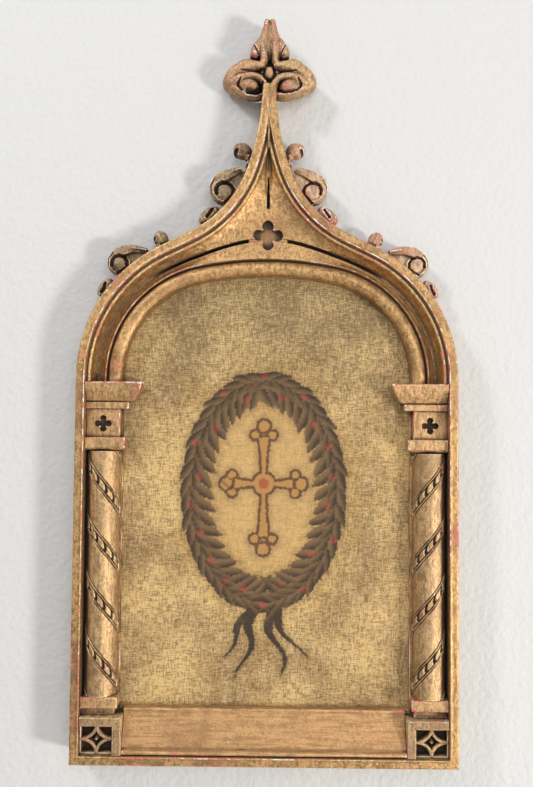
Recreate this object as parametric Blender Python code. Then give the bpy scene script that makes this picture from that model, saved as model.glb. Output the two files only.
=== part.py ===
"""A carved, gilded wall frame in the Gothic manner: an arched picture panel between two half columns, under an
ogee gable with crockets and a leaf finial.

Metres, +Z up, the front faces -Y and the wall is the plane y = 0. The origin is the hanging point: the middle of
the flat back, behind the gable's quatrefoil. A depth below is a distance from the wall towards the viewer, and a
height is measured from the underside."""

import math

import bmesh
import bpy
from mathutils import Matrix, Vector

# Driving dimensions: the whole frame
WIDTH = 0.305
THICKNESS = 0.028
WEB_DEPTH = 0.0133
FIT_GAP = 0.0003

# Driving dimensions: the outer fillet and the ogee outline of the gable, headings and turns in degrees
FILLET_WIDTH = 0.0076
ARRIS = 0.0006
SPRINGING = 0.3045
SHOULDER_RADIUS = 0.118
SHOULDER_TURN = 64.0
OGEE_RADIUS = 0.094
OGEE_END_HEADING = 18.0
STEM_RADIUS = 0.229
STEM_END_HEADING = 4.5
STEM_TOP_LENGTH = 0.014
STEM_HALF_WIDTH = 0.00486

# Driving dimensions: the picture opening and its panel
STILE_WIDTH = 0.0360
SIGHT_BOTTOM = 0.038
HAUNCH_RADIUS = 0.080
CROWN_RADIUS = 0.260
REBATE_WIDTH = 0.005
PANEL_THICKNESS = 0.0040
PANEL_DEPTH = 0.0100

# Driving dimensions: the arch mouldings, as distances from the outer edge or from the opening's edge
OUTER_QUIRK = 0.0090
OUTER_BEAD = (0.0096, 0.0110)
OUTER_MEMBER_SETBACKS = (0.0045, 0.0030, 0.0034, 0.0048)
HOLLOW_STEPS = (0.0035, 0.0080)
RIDGE_OFFSET = 0.0139
ROLL_WIDTH = 0.0112
ROLL_RISE = 0.0048
ROLL_FOOT_DEPTH = 0.0178
RIDGE_DEPTH = 0.0195
QUIRK_DEPTH = 0.0165
VALLEY_BAND = 0.0063
VALLEY_BAND_GROWTH = 0.0092
VALLEY_DEPTH = 0.0146
PLATE_DEPTH = 0.0190

# Driving dimensions: the carved slits and the sunk quatrefoil of the gable, with rises above the plate's lowest point
SLIT_HALF_WIDTH = 0.0016
SLIT_DEPTH = 0.0080
SLIT_RISE = 0.0254
SLIT_LENGTH = 0.0270
GABLE_FOIL_RISE = 0.0034
GABLE_FOIL_REACH = 0.0076
GABLE_FOIL_LOBE = 0.0046
GABLE_FOIL_DEPTH = 0.0045

# Driving dimensions: the finial, from the boss that stands just above the stem's end
FINIAL_RISE = 0.0092
FINIAL_TIP = 0.0475
FINIAL_ARM = 0.0387
FINIAL_BACK = 0.0030
FINIAL_LEAF_DEPTH = 0.0200
FINIAL_BOSS = 0.0042
FINIAL_STAR_WAIST = 0.0068
FINIAL_STAR_POINT = 0.0230
FINIAL_BAND = 0.0052
FINIAL_BALL = (0.0095, 0.0080, 0.0076)
FINIAL_BALL_PLACE = (0.0161, -0.0075)

# Driving dimensions: the crockets, placed from the ends of the shoulder's arc and of the straight slope
CROCKET_BEFORE_SHOULDER_END = 0.0348
CROCKET_PAST_SLOPE = 0.0479
CROCKET_SCALES = {"shoulder": 1.05, "upper": 1.20}
CROCKET_STANDOFF = 0.0085
CROCKET_FOOT = 0.0032
CROCKET_RING = 0.0070
CROCKET_TAIL = 0.0170
CROCKET_STEM = 0.0023
CROCKET_EYE = 0.0054
CROCKET_BUD = 0.0061
CROCKET_BUD_PLACE = (0.0350, 0.0081)
CROCKET_NECK = (0.0034, 0.0030)
CROCKET_NECK_PLACE = (0.0320, 0.0036)
CROCKET_LOBE = (0.0088, 0.0047)
CROCKET_LOBE_PLACE = (-0.0200, 0.0054)
CROCKET_WEB = 0.0095
CROCKET_DEPTHS = (0.0050, 0.0190)

# Driving dimensions: capitals and bases. Profiles are (height, reach past the die, setback from the frame's front)
CAPITAL_DROP = 0.0040
CAPITAL_PROFILE = (
    (0.0000, 0.0010, 0.0065),
    (0.0024, 0.0050, 0.0034),
    (0.0103, 0.0050, 0.0034),
    (0.0104, 0.0000, 0.0082),
    (0.0331, 0.0000, 0.0082),
    (0.0332, 0.0072, 0.0056),
    (0.0381, 0.0076, 0.0052),
    (0.0389, 0.0080, 0.0066),
    (0.0401, 0.0112, 0.0058),
    (0.0431, 0.0130, 0.0042),
    (0.0471, 0.0160, 0.0020),
    (0.0516, 0.0178, 0.0003),
    (0.0546, 0.0181, 0.0000),
)
BASE_PROFILE = (
    (0.0000, -0.0006, 0.0075),
    (0.0058, -0.0006, 0.0075),
    (0.0060, 0.0022, 0.0030),
    (0.0136, 0.0022, 0.0030),
    (0.0144, 0.0016, 0.0036),
)
DIE_WIDTH = 0.0269
CAPITAL_FOIL_RISE = 0.0213
CAPITAL_FOIL_REACH = 0.0042
CAPITAL_FOIL_LOBE = 0.0026
CAPITAL_FOIL_BACK = 0.0150

# Driving dimensions: the half columns and their spiral bands
SHAFT_RADIUS = 0.0125
BAND_COUNT = 4
BAND_MARGIN = 0.0096
BAND_HALF_WIDTH = 0.0034
BAND_RISE = 0.0009
BLOCKS_PER_BAND = 6

# Driving dimensions: corner blocks and sill. The sill's profile is (setback from the front, rise above its foot)
BLOCK_TOP = 0.0370
BLOCK_WIDTH = 0.0329
BLOCK_BORDER = 0.0072
BLOCK_SETBACK = 0.0010
TRACERY_SETBACK = 0.0045
TRACERY_FLOOR = 0.0165
TRACERY_BAR = 0.0031
STUD_SIZE = 0.0030
SILL_LAP = 0.0030
SILL_NOSE = ((0.0024, 0.0000), (0.0016, 0.0016), (0.0024, 0.0034), (0.0044, 0.0042), (0.0040, 0.0056))
SILL_HEAD = ((0.0112, -0.0022), (0.0120, 0.0000))

# Places that follow from the sizes above
HALF_WIDTH = WIDTH / 2
FRONT_INNER = HALF_WIDTH - FILLET_WIDTH - FIT_GAP
SIGHT_HALF_WIDTH = HALF_WIDTH - STILE_WIDTH
REBATE_DEPTH = PANEL_DEPTH + FIT_GAP
CAPITAL_TOP = SPRINGING - CAPITAL_DROP
CAPITAL_FOOT = CAPITAL_TOP - CAPITAL_PROFILE[-1][0]
DIE_INNER = HALF_WIDTH - FILLET_WIDTH - DIE_WIDTH
SHAFT_TOP = CAPITAL_FOOT - 2 * FIT_GAP
SHAFT_CENTRE = FRONT_INNER - BAND_RISE - SHAFT_RADIUS
BASE_FOOT = BLOCK_TOP + FIT_GAP
SHAFT_BOTTOM = BASE_FOOT + BASE_PROFILE[-1][0] + FIT_GAP
BAND_DROP = (SHAFT_TOP - SHAFT_BOTTOM - BAND_MARGIN) / BAND_COUNT
BLOCK_INNER = HALF_WIDTH - FILLET_WIDTH - BLOCK_WIDTH
SILL_TOP = SIGHT_BOTTOM + SILL_LAP


def clear_scene():
    for old in list(bpy.data.objects):
        bpy.data.objects.remove(old, do_unlink=True)


def new_collection(name):
    collection = bpy.data.collections.new(name)
    bpy.context.scene.collection.children.link(collection)
    return collection


def finish_material(name, colour, roughness, metallic):
    material = bpy.data.materials.new(name)
    material.use_nodes = True
    shader = material.node_tree.nodes["Principled BSDF"]
    shader.inputs["Base Color"].default_value = (*colour, 1.0)
    shader.inputs["Roughness"].default_value = roughness
    shader.inputs["Metallic"].default_value = metallic
    return material


def add_object(name, mesh, collection, material=None):
    piece = bpy.data.objects.new(name, mesh)
    collection.objects.link(piece)
    if material:
        piece.data.materials.append(material)
    return piece


def mesh_from(name, bm):
    mesh = bpy.data.meshes.new(name)
    bm.to_mesh(mesh)
    bm.free()
    return mesh


# Outline geometry. A heading is the angle from straight up, positive towards the middle line, on the right half.
def chain_length(chain):
    return sum(abs(radius * math.radians(turn)) if turn else radius for radius, turn in chain)


def walk(start, chain, distance):
    """Point and heading after a distance along a chain of (radius, turn) arcs and (length, 0) straights."""
    x, z = start
    heading = 0.0
    for radius, turn in chain:
        length = abs(radius * math.radians(turn)) if turn else radius
        step = min(distance, length)
        if turn:
            new = heading + math.radians(turn) * step / length
            side = math.copysign(radius, turn)
            x += side * (math.cos(new) - math.cos(heading))
            z += side * (math.sin(new) - math.sin(heading))
            heading = new
        else:
            x -= step * math.sin(heading)
            z += step * math.cos(heading)
        distance -= step
        if distance <= 0:
            return x, z, heading
    x -= distance * math.sin(heading)
    z += distance * math.cos(heading)
    return x, z, heading


def ogee_chain(slope_length):
    return (
        (SHOULDER_RADIUS, SHOULDER_TURN),
        (slope_length, 0.0),
        (OGEE_RADIUS, OGEE_END_HEADING - SHOULDER_TURN),
        (STEM_RADIUS, STEM_END_HEADING - OGEE_END_HEADING),
        (STEM_TOP_LENGTH, 0.0),
    )


# The straight slope takes the length that brings the outline to the stem's half width at its top.
BARE_CHAIN = ogee_chain(0.0)
BARE_END = walk((HALF_WIDTH, SPRINGING), BARE_CHAIN, chain_length(BARE_CHAIN))[0]
SLOPE_LENGTH = (BARE_END - STEM_HALF_WIDTH) / math.sin(math.radians(SHOULDER_TURN))
OUTER_CHAIN = ogee_chain(SLOPE_LENGTH)
HAUNCH_TURN = math.degrees(math.acos((SIGHT_HALF_WIDTH - HAUNCH_RADIUS) / (CROWN_RADIUS - HAUNCH_RADIUS)))
ARCH_CHAIN = ((HAUNCH_RADIUS, HAUNCH_TURN), (CROWN_RADIUS, 90.0 - HAUNCH_TURN))
ARCH_LENGTH = chain_length(ARCH_CHAIN)


def outer_point(distance, inward=0.0):
    x, z, heading = walk((HALF_WIDTH, SPRINGING), OUTER_CHAIN, distance)
    return x - inward * math.cos(heading), z - inward * math.sin(heading)


def arch_point(distance, outward=0.0):
    x, z, heading = walk((SIGHT_HALF_WIDTH, SPRINGING), ARCH_CHAIN, distance)
    return x + outward * math.cos(heading), z + outward * math.sin(heading)


def crossing_height(distance):
    """Height at which the outer edge's normal meets the middle line."""
    x, z, heading = walk((HALF_WIDTH, SPRINGING), OUTER_CHAIN, distance)
    return z - x * math.tan(heading)


def outer_distance_for(centre_height):
    """Distance along the outer edge whose normal meets the middle line at a height, on the concave stretch."""
    low = chain_length(OUTER_CHAIN[:2])
    high = chain_length(OUTER_CHAIN)
    for _ in range(40):
        middle = (low + high) / 2
        if crossing_height(middle) < centre_height:
            low = middle
        else:
            high = middle
    return low


def smooth(value):
    value = min(max(value, 0.0), 1.0)
    return value * value * (3 - 2 * value)


def lerp(a, b, share):
    return a + (b - a) * share


def valley_offset(share):
    """Distance from the opening's edge to the hollow's valley: it widens into the gable plate near the crown."""
    return RIDGE_OFFSET + VALLEY_BAND + VALLEY_BAND_GROWTH * smooth((share - 0.55) / 0.45)


PLATE_CENTRE = arch_point(ARCH_LENGTH)[1] + valley_offset(1.0)
MEETING = outer_distance_for(PLATE_CENTRE)
SHOULDER_END = chain_length(OUTER_CHAIN[:1])
SLIT_BOTTOM_HEIGHT = PLATE_CENTRE + SLIT_RISE
SLIT_TOP_HEIGHT = SLIT_BOTTOM_HEIGHT + SLIT_LENGTH
MOUNT_HEIGHT = PLATE_CENTRE + GABLE_FOIL_RISE
FINIAL_HEIGHT = walk((HALF_WIDTH, SPRINGING), OUTER_CHAIN, chain_length(OUTER_CHAIN))[1] + FINIAL_RISE
CROCKET_PLACES = {
    "shoulder": SHOULDER_END - CROCKET_BEFORE_SHOULDER_END,
    "upper": SHOULDER_END + SLOPE_LENGTH + CROCKET_PAST_SLOPE,
}
HAUNCH_MATCH = HAUNCH_RADIUS * math.radians(SHOULDER_TURN)
SLIT_START = 0.58
SLIT_END = 0.915


def height(above_underside):
    """World Z of a height that is measured from the underside."""
    return above_underside - MOUNT_HEIGHT


def valley_depths(share):
    """Depths of the valley's edges and of its bottom, from the springing (0) to the middle line (1)."""
    edge = lerp(VALLEY_DEPTH, PLATE_DEPTH, smooth((share - 0.5) / 0.4))
    cut = smooth((share - 0.45) / (SLIT_START - 0.45)) * (share < SLIT_END)
    return edge, lerp(edge - 0.0006, SLIT_DEPTH, cut)


def roll_points():
    """The half-round roll, as (distance from the opening's edge, depth), from its outer foot to the opening."""
    points = []
    for step in range(5):
        angle = math.pi * (0.06 + 0.88 * step / 4)
        across = ROLL_WIDTH / 2 * (1 + math.cos(angle))
        points.append((across, ROLL_FOOT_DEPTH + ROLL_RISE * math.sin(angle)))
    return points


def arch_section(outer_distance, arch_distance):
    """One section of the arch mouldings as (x, height, depth) points, from the outer edge to the rebate."""
    share = arch_distance / ARCH_LENGTH
    edge_depth, bottom_depth = valley_depths(share)
    section = []
    for inward, depth in outer_members():
        section.append((*outer_point(outer_distance, inward), depth))
    last = Vector(section[-1])
    valley = valley_offset(share)
    edge = Vector((*arch_point(arch_distance, valley + SLIT_HALF_WIDTH), edge_depth))
    reach = (edge - last).length
    for index, step in enumerate(HOLLOW_STEPS):
        share_across = min(step / reach, (index + 1) / 3)
        point = last.lerp(edge, share_across)
        drop = math.sin(math.radians(30 * (index + 1)))
        section.append((point.x, point.y, lerp(last.z, edge_depth, drop)))
    section.append(tuple(edge))
    section.append((*arch_point(arch_distance, valley), bottom_depth))
    section.append((*arch_point(arch_distance, valley - SLIT_HALF_WIDTH), edge_depth))
    middle = lerp(valley - SLIT_HALF_WIDTH, RIDGE_OFFSET, 0.55)
    section.append((*arch_point(arch_distance, middle), lerp(edge_depth, RIDGE_DEPTH, 0.35)))
    section.append((*arch_point(arch_distance, RIDGE_OFFSET), RIDGE_DEPTH))
    section.append((*arch_point(arch_distance, ROLL_WIDTH + 0.0006), QUIRK_DEPTH))
    for across, depth in roll_points():
        section.append((*arch_point(arch_distance, across), depth))
    section.append((*arch_point(arch_distance), ROLL_FOOT_DEPTH - 0.002))
    section.append((*arch_point(arch_distance), REBATE_DEPTH))
    section.append((*arch_point(arch_distance, REBATE_WIDTH), REBATE_DEPTH))
    section.append((*arch_point(arch_distance, REBATE_WIDTH), 0.0))
    return section


def outer_members():
    """The members that follow the outer edge, as (distance in from the edge, depth)."""
    quirk, bead_start, bead_end, hollow = (THICKNESS - setback for setback in OUTER_MEMBER_SETBACKS)
    return (
        (0.0, 0.0),
        (0.0, THICKNESS - ARRIS),
        (ARRIS, THICKNESS),
        (FILLET_WIDTH - ARRIS, THICKNESS),
        (FILLET_WIDTH, THICKNESS - ARRIS),
        (OUTER_QUIRK, quirk),
        (OUTER_BEAD[0], bead_start),
        (OUTER_BEAD[1], bead_end),
        (OUTER_BEAD[1] + 0.0008, hollow),
    )


FRAME_COLUMNS = len(arch_section(0.0, 0.0))
VALLEY_COLUMN = len(outer_members()) + len(HOLLOW_STEPS) + 1


def web_section(place):
    """A stile or bottom-rail section: the fillet, then the flat web. place(distance in) gives (x, height)."""
    section = []
    for index, (x, _, depth) in enumerate(arch_section(0.0, 0.0)):
        inward = HALF_WIDTH - x
        if 5 <= index < FRAME_COLUMNS - 3:
            depth = WEB_DEPTH
        if index == 5:
            inward = FILLET_WIDTH
        section.append((*place(inward), depth))
    return section


def rail_height(inward):
    """The stile's distances in from the edge, stretched to the bottom rail's own height."""
    if inward <= FILLET_WIDTH:
        return inward
    stile = HALF_WIDTH - SIGHT_HALF_WIDTH
    return FILLET_WIDTH + (inward - FILLET_WIDTH) * (SIGHT_BOTTOM - FILLET_WIDTH) / (stile - FILLET_WIDTH)


def stem_section(centre_height, slit_half_width, edge_depth, bottom_depth):
    """A section above the plate, from the outer edge to the middle line. Members that don't fit close up."""
    distance = outer_distance_for(centre_height)
    outer = Vector(outer_point(distance))
    centre = Vector((0.0, centre_height))
    room = (centre - outer).length
    members = outer_members()
    edge = max(room - slit_half_width, 0.0)
    reach = edge - members[-1][0]
    section = []
    wanted = list(members)
    for index, step in enumerate(HOLLOW_STEPS):
        drop = math.sin(math.radians(30 * (index + 1)))
        across = min(step, reach * (index + 1) / 3)
        wanted.append((members[-1][0] + across, lerp(members[-1][1], edge_depth, drop)))
    wanted.append((edge, edge_depth))
    for index, (inward, depth) in enumerate(wanted):
        limit = room - 0.00012 * (len(wanted) - index)
        if inward > limit:
            depth = max(depth, lerp(edge_depth, THICKNESS, 0.85))
        point = outer.lerp(centre, min(inward, limit) / room)
        section.append((max(point.x, 0.00004), point.y, min(depth, THICKNESS)))
    section.append((0.0, centre_height, bottom_depth))
    return section


def gable_sections():
    """All sections of the right half: bottom middle, corner, stile, arch, plate, stem."""
    sections = [
        web_section(lambda inward: (0.0, rail_height(inward))),
        web_section(lambda inward: (HALF_WIDTH - inward, rail_height(inward))),
        web_section(lambda inward: (HALF_WIDTH - inward, CAPITAL_TOP + FIT_GAP)),
    ]
    base = arch_section(0.0, 0.0)
    sections.append([(x, CAPITAL_TOP + FIT_GAP, depth) for x, _, depth in base])
    sections.append(base)
    for step in range(1, 10):
        share = step / 9
        sections.append(arch_section(SHOULDER_END * share, HAUNCH_MATCH * share))
    for share in (0.12, 0.24, 0.38, 0.52, 0.66, 0.76, 0.82, 1.0):
        sections.append(
            arch_section(lerp(SHOULDER_END, MEETING, share), lerp(HAUNCH_MATCH, ARCH_LENGTH, share))
        )
    return sections


def stem_sections():
    top = crossing_height(chain_length(OUTER_CHAIN))
    plate, slit, seam = PLATE_DEPTH, SLIT_DEPTH, THICKNESS - 0.0018
    middle = (SLIT_BOTTOM_HEIGHT + SLIT_TOP_HEIGHT) / 2
    rows = (
        (lerp(PLATE_CENTRE, SLIT_BOTTOM_HEIGHT, 0.55), SLIT_HALF_WIDTH, plate, plate),
        (SLIT_BOTTOM_HEIGHT - 0.0012, SLIT_HALF_WIDTH, plate, plate),
        (SLIT_BOTTOM_HEIGHT + 0.0008, SLIT_HALF_WIDTH * 1.1, plate, slit),
        (middle, SLIT_HALF_WIDTH * 0.8, plate - 0.0006, slit),
        (SLIT_TOP_HEIGHT, SLIT_HALF_WIDTH * 0.35, plate - 0.0018, plate - 0.0040),
        (lerp(SLIT_TOP_HEIGHT, top, 0.15), SLIT_HALF_WIDTH * 0.3, plate - 0.0005, plate - 0.0018),
        (lerp(SLIT_TOP_HEIGHT, top, 0.30), SLIT_HALF_WIDTH * 0.3, plate + 0.0025, plate + 0.0015),
        (lerp(SLIT_TOP_HEIGHT, top, 0.46), SLIT_HALF_WIDTH * 0.3, seam, seam - 0.001),
        (lerp(SLIT_TOP_HEIGHT, top, 0.70), SLIT_HALF_WIDTH * 0.3, seam, seam - 0.001),
        (top, SLIT_HALF_WIDTH * 0.3, seam, seam - 0.001),
    )
    return [stem_section(*row) for row in rows]


def place_points(bm, section):
    return [bm.verts.new((x, -depth, height(z))) for x, z, depth in section]


def frame_body():
    """The gable frame without finial and quatrefoil: the right half is lofted, open at x = 0, and mirrored."""
    bm = bmesh.new()
    rows = [place_points(bm, section) for section in gable_sections()]
    for lower, upper in zip(rows, rows[1:]):
        for i in range(FRAME_COLUMNS):
            j = (i + 1) % FRAME_COLUMNS
            bm.faces.new((lower[i], upper[i], upper[j], lower[j]))
    below = rows[-1][: VALLEY_COLUMN + 1]
    back_below = rows[-1][-1]
    for section in stem_sections():
        above = place_points(bm, section)
        back_above = bm.verts.new((0.0, 0.0, height(section[-1][1])))
        for i in range(VALLEY_COLUMN):
            bm.faces.new((below[i], above[i], above[i + 1], below[i + 1]))
        bm.faces.new((below[0], back_below, back_above, above[0]))
        below, back_below = above, back_above
    bm.faces.new((*below, back_below))
    bmesh.ops.remove_doubles(bm, verts=bm.verts, dist=1e-5)
    whole = bm.verts[:] + bm.edges[:] + bm.faces[:]
    bmesh.ops.mirror(bm, geom=whole, axis="X", merge_dist=1e-5)
    bmesh.ops.dissolve_degenerate(bm, edges=bm.edges, dist=1e-6)
    bmesh.ops.recalc_face_normals(bm, faces=bm.faces)
    return mesh_from("gable_frame", bm)


def curve_solid(curve, place):
    """The closed mesh of a filled or bevelled curve, set in place by a matrix."""
    holder = bpy.data.objects.new(curve.name, curve)
    bpy.context.scene.collection.objects.link(holder)
    bpy.context.view_layer.update()
    graph = bpy.context.evaluated_depsgraph_get()
    mesh = bpy.data.meshes.new_from_object(holder.evaluated_get(graph))
    bpy.data.objects.remove(holder, do_unlink=True)
    bm = bmesh.new()
    bm.from_mesh(mesh)
    bmesh.ops.remove_doubles(bm, verts=bm.verts, dist=1e-6)
    bmesh.ops.transform(bm, matrix=place, verts=bm.verts)
    bmesh.ops.recalc_face_normals(bm, faces=bm.faces)
    bm.to_mesh(mesh)
    bm.free()
    return mesh


def prism(name, outlines, back, front):
    """A flat outline, with holes if more than one is given, extruded between two depths. Points are (x, world Z)."""
    curve = bpy.data.curves.new(name, "CURVE")
    curve.dimensions = "2D"
    curve.fill_mode = "BOTH"
    curve.extrude = (front - back) / 2
    for outline in outlines:
        spline = curve.splines.new("POLY")
        spline.points.add(len(outline) - 1)
        for point, (x, z) in zip(spline.points, outline):
            point.co = (x, z, 0.0, 1.0)
        spline.use_cyclic_u = True
    stand = Matrix.Translation((0, -(front + back) / 2, 0)) @ Matrix.Rotation(math.pi / 2, 4, "X")
    return curve_solid(curve, stand)


def ellipsoid(name, centre, radii, turn=0.0, segments=8, rings=6):
    """centre is (x, world Z, depth); radii are along, across and in depth; turn is about the depth axis."""
    bm = bmesh.new()
    bmesh.ops.create_uvsphere(bm, u_segments=segments, v_segments=rings, radius=1.0)
    x, z, depth = centre
    shape = Matrix.Diagonal((radii[0], radii[2], radii[1], 1.0))
    place = Matrix.Translation((x, -depth, z)) @ Matrix.Rotation(turn, 4, "Y") @ shape
    bmesh.ops.transform(bm, matrix=place, verts=bm.verts)
    return mesh_from(name, bm)


def boolean(piece, mesh, operation, tools):
    """Joins or cuts a mesh as a live modifier; the tool object stays in the cutters' collection."""
    tool = add_object(f"{piece.name}_{mesh.name}_tool", mesh, tools)
    tool.hide_render = True
    tool.display_type = "WIRE"
    modifier = piece.modifiers.new(f"{operation.title()} {mesh.name}", "BOOLEAN")
    modifier.operation = operation
    modifier.solver = "EXACT"
    modifier.object = tool


def quatrefoil(centre, reach, lobe, steps=6):
    """A four-lobed outline; reach is from the centre to each lobe's centre."""
    x, z = centre
    points = []
    for quarter in range(4):
        facing = math.pi / 2 * quarter
        for step in range(steps + 1):
            angle = facing + math.radians(lerp(-125, 125, step / steps))
            points.append(
                (
                    x + reach * math.cos(facing) + lobe * math.cos(angle),
                    z + reach * math.sin(facing) + lobe * math.sin(angle),
                )
            )
    return points


# The finial: a relief drawn on rays from its boss, with scroll balls below the arms.
def finial_outline():
    """The silhouette as (degrees from the tip, distance from the boss, leaf depth): tip, ear, arm, scroll, foot."""
    tip, arm, leaf = FINIAL_TIP, FINIAL_ARM, FINIAL_LEAF_DEPTH
    near_tip = THICKNESS - 0.0025
    return (
        (0, tip * 0.985, near_tip),
        (3.5, tip, near_tip),
        (7, tip * 0.93, near_tip),
        (10.5, tip * 0.78, near_tip),
        (17, tip * 0.645, lerp(leaf, near_tip, 0.6)),
        (25, tip * 0.59, leaf),
        (33, tip * 0.555, leaf),
        (37, tip * 0.51, leaf),
        (39.5, tip * 0.415, leaf - 0.003),
        (42, arm * 0.555, leaf),
        (46, arm * 0.61, leaf),
        (54, arm * 0.67, leaf),
        (63, arm * 0.735, leaf),
        (72, arm * 0.81, leaf),
        (81, arm * 0.915, leaf),
        (90, arm, leaf),
        (98, arm * 0.98, leaf),
        (104, arm * 0.88, leaf),
        (112, arm * 0.76, leaf - 0.002),
        (122, arm * 0.64, leaf - 0.002),
        (131, arm * 0.55, leaf - 0.002),
        (139, arm * 0.42, leaf - 0.002),
        (148, arm * 0.30, leaf - 0.002),
        (164, arm * 0.27, leaf),
        (180, arm * 0.26, leaf),
    )


def star_reach(angle):
    """Inner edge of the raised bands: a four-pointed star with hollow sides."""
    quarter = abs((angle % 90) - 45) / 45
    return lerp(FINIAL_STAR_WAIST, FINIAL_STAR_POINT, quarter**3.4)


def finial_rings():
    """Per ray: its angle in radians, and (distance, depth) rings from the boss's foot to the back of the edge."""
    outline = finial_outline()
    whole = [(90 - side, rim, leaf) for side, rim, leaf in outline]
    whole += [(90 + side, rim, leaf) for side, rim, leaf in outline[1:-1]]
    rows = []
    for angle, rim, leaf in sorted(whole):
        star = min(star_reach(angle), rim * 0.80)
        band = min(star + FINIAL_BAND, lerp(star, rim, 0.55))
        ring = (
            (FINIAL_BOSS, 0.0200),
            (star * 0.86, 0.0212),
            (star, THICKNESS - 0.0012),
            (lerp(star, band, 0.85), THICKNESS - 0.0006),
            (band, leaf + 0.0018),
            (lerp(band, rim, 0.65), leaf + 0.0012),
            (rim, leaf - 0.0020),
            (rim, FINIAL_BACK + 0.002),
            (rim * 0.93, FINIAL_BACK),
        )
        rows.append((math.radians(angle), ring))
    return rows


def finial_mesh():
    bm = bmesh.new()
    boss = bm.verts.new((0.0, -(THICKNESS - 0.0005), height(FINIAL_HEIGHT)))
    back = bm.verts.new((0.0, -FINIAL_BACK, height(FINIAL_HEIGHT)))
    rays = []
    for angle, ring in finial_rings():
        rays.append(
            [
                bm.verts.new(
                    (reach * math.cos(angle), -depth, height(FINIAL_HEIGHT) + reach * math.sin(angle))
                )
                for reach, depth in ring
            ]
        )
    for this, following in zip(rays, rays[1:] + rays[:1]):
        bm.faces.new((boss, this[0], following[0]))
        for i in range(len(this) - 1):
            bm.faces.new((this[i], this[i + 1], following[i + 1], following[i]))
        bm.faces.new((back, following[-1], this[-1]))
    bmesh.ops.recalc_face_normals(bm, faces=bm.faces)
    return mesh_from("finial", bm)


def make_gable_frame(parts, tools, gilt):
    frame = add_object("gable_frame", frame_body(), parts, gilt)
    boolean(frame, finial_mesh(), "UNION", tools)
    for side in (-1, 1):
        across, down = FINIAL_BALL_PLACE
        centre = (side * across, height(FINIAL_HEIGHT) + down, FINIAL_LEAF_DEPTH)
        ball = ellipsoid("scroll_ball", centre, FINIAL_BALL, turn=side * math.radians(22))
        boolean(frame, ball, "UNION", tools)
    foil = quatrefoil((0.0, height(MOUNT_HEIGHT)), GABLE_FOIL_REACH, GABLE_FOIL_LOBE)
    cutter = prism("gable_quatrefoil", [foil], PLATE_DEPTH - GABLE_FOIL_DEPTH, THICKNESS)
    boolean(frame, cutter, "DIFFERENCE", tools)


def make_picture_panel(parts, canvas):
    offset = REBATE_WIDTH - FIT_GAP
    right = [arch_point(ARCH_LENGTH * step / 14, offset) for step in range(14)]
    crown = arch_point(ARCH_LENGTH, offset)
    half = [(SIGHT_HALF_WIDTH + offset, SIGHT_BOTTOM - offset)] + right
    outline = half + [(0.0, crown[1])] + [(-x, z) for x, z in reversed(half)]
    outline = [(x, height(z)) for x, z in outline]
    mesh = prism("picture_panel", [outline], PANEL_DEPTH - PANEL_THICKNESS, PANEL_DEPTH)
    add_object("picture_panel", mesh, parts, canvas)


def side_of(mesh_name, mesh, side):
    """The right-hand mesh, or a copy mirrored for the left."""
    if side > 0:
        return mesh
    bm = bmesh.new()
    bm.from_mesh(mesh)
    bmesh.ops.transform(bm, matrix=Matrix.Diagonal((-1, 1, 1, 1)), verts=bm.verts)
    bmesh.ops.reverse_faces(bm, faces=bm.faces)
    return mesh_from(mesh_name, bm)


def loft(name, rings):
    """Closed solid through rings of equal length, capped flat at both ends. Points are (x, depth, height)."""
    bm = bmesh.new()
    rows = [[bm.verts.new((x, -depth, height(z))) for x, depth, z in ring] for ring in rings]
    for lower, upper in zip(rows, rows[1:]):
        for i in range(len(lower)):
            j = (i + 1) % len(lower)
            bm.faces.new((lower[i], lower[j], upper[j], upper[i]))
    bm.faces.new(list(reversed(rows[0])))
    bm.faces.new(rows[-1])
    bmesh.ops.recalc_face_normals(bm, faces=bm.faces)
    return mesh_from(name, bm)


def moulded_block(name, foot, profile):
    """A moulded block against the fillet, whose inner end and front follow one profile."""
    back = WEB_DEPTH + FIT_GAP
    rings = []
    for rise, reach, setback in profile:
        inner, front, z = DIE_INNER - reach, THICKNESS - setback, foot + rise
        rings.append([(inner, back, z), (FRONT_INNER, back, z), (FRONT_INNER, front, z), (inner, front, z)])
    return loft(name, rings)


def shaft_angles():
    """Angles round the half shaft: each band block has a start and an end, with a joint between blocks."""
    block = math.pi / BLOCKS_PER_BAND
    angles = [-math.pi / 2]
    raised = [False]
    for index in range(BLOCKS_PER_BAND):
        start = -math.pi / 2 + block * index
        for share in (0.14, 0.86):
            angles.append(start + block * share)
            raised.append(True)
        angles.append(start + block)
        raised.append(False)
    return list(zip(angles, raised))


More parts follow.
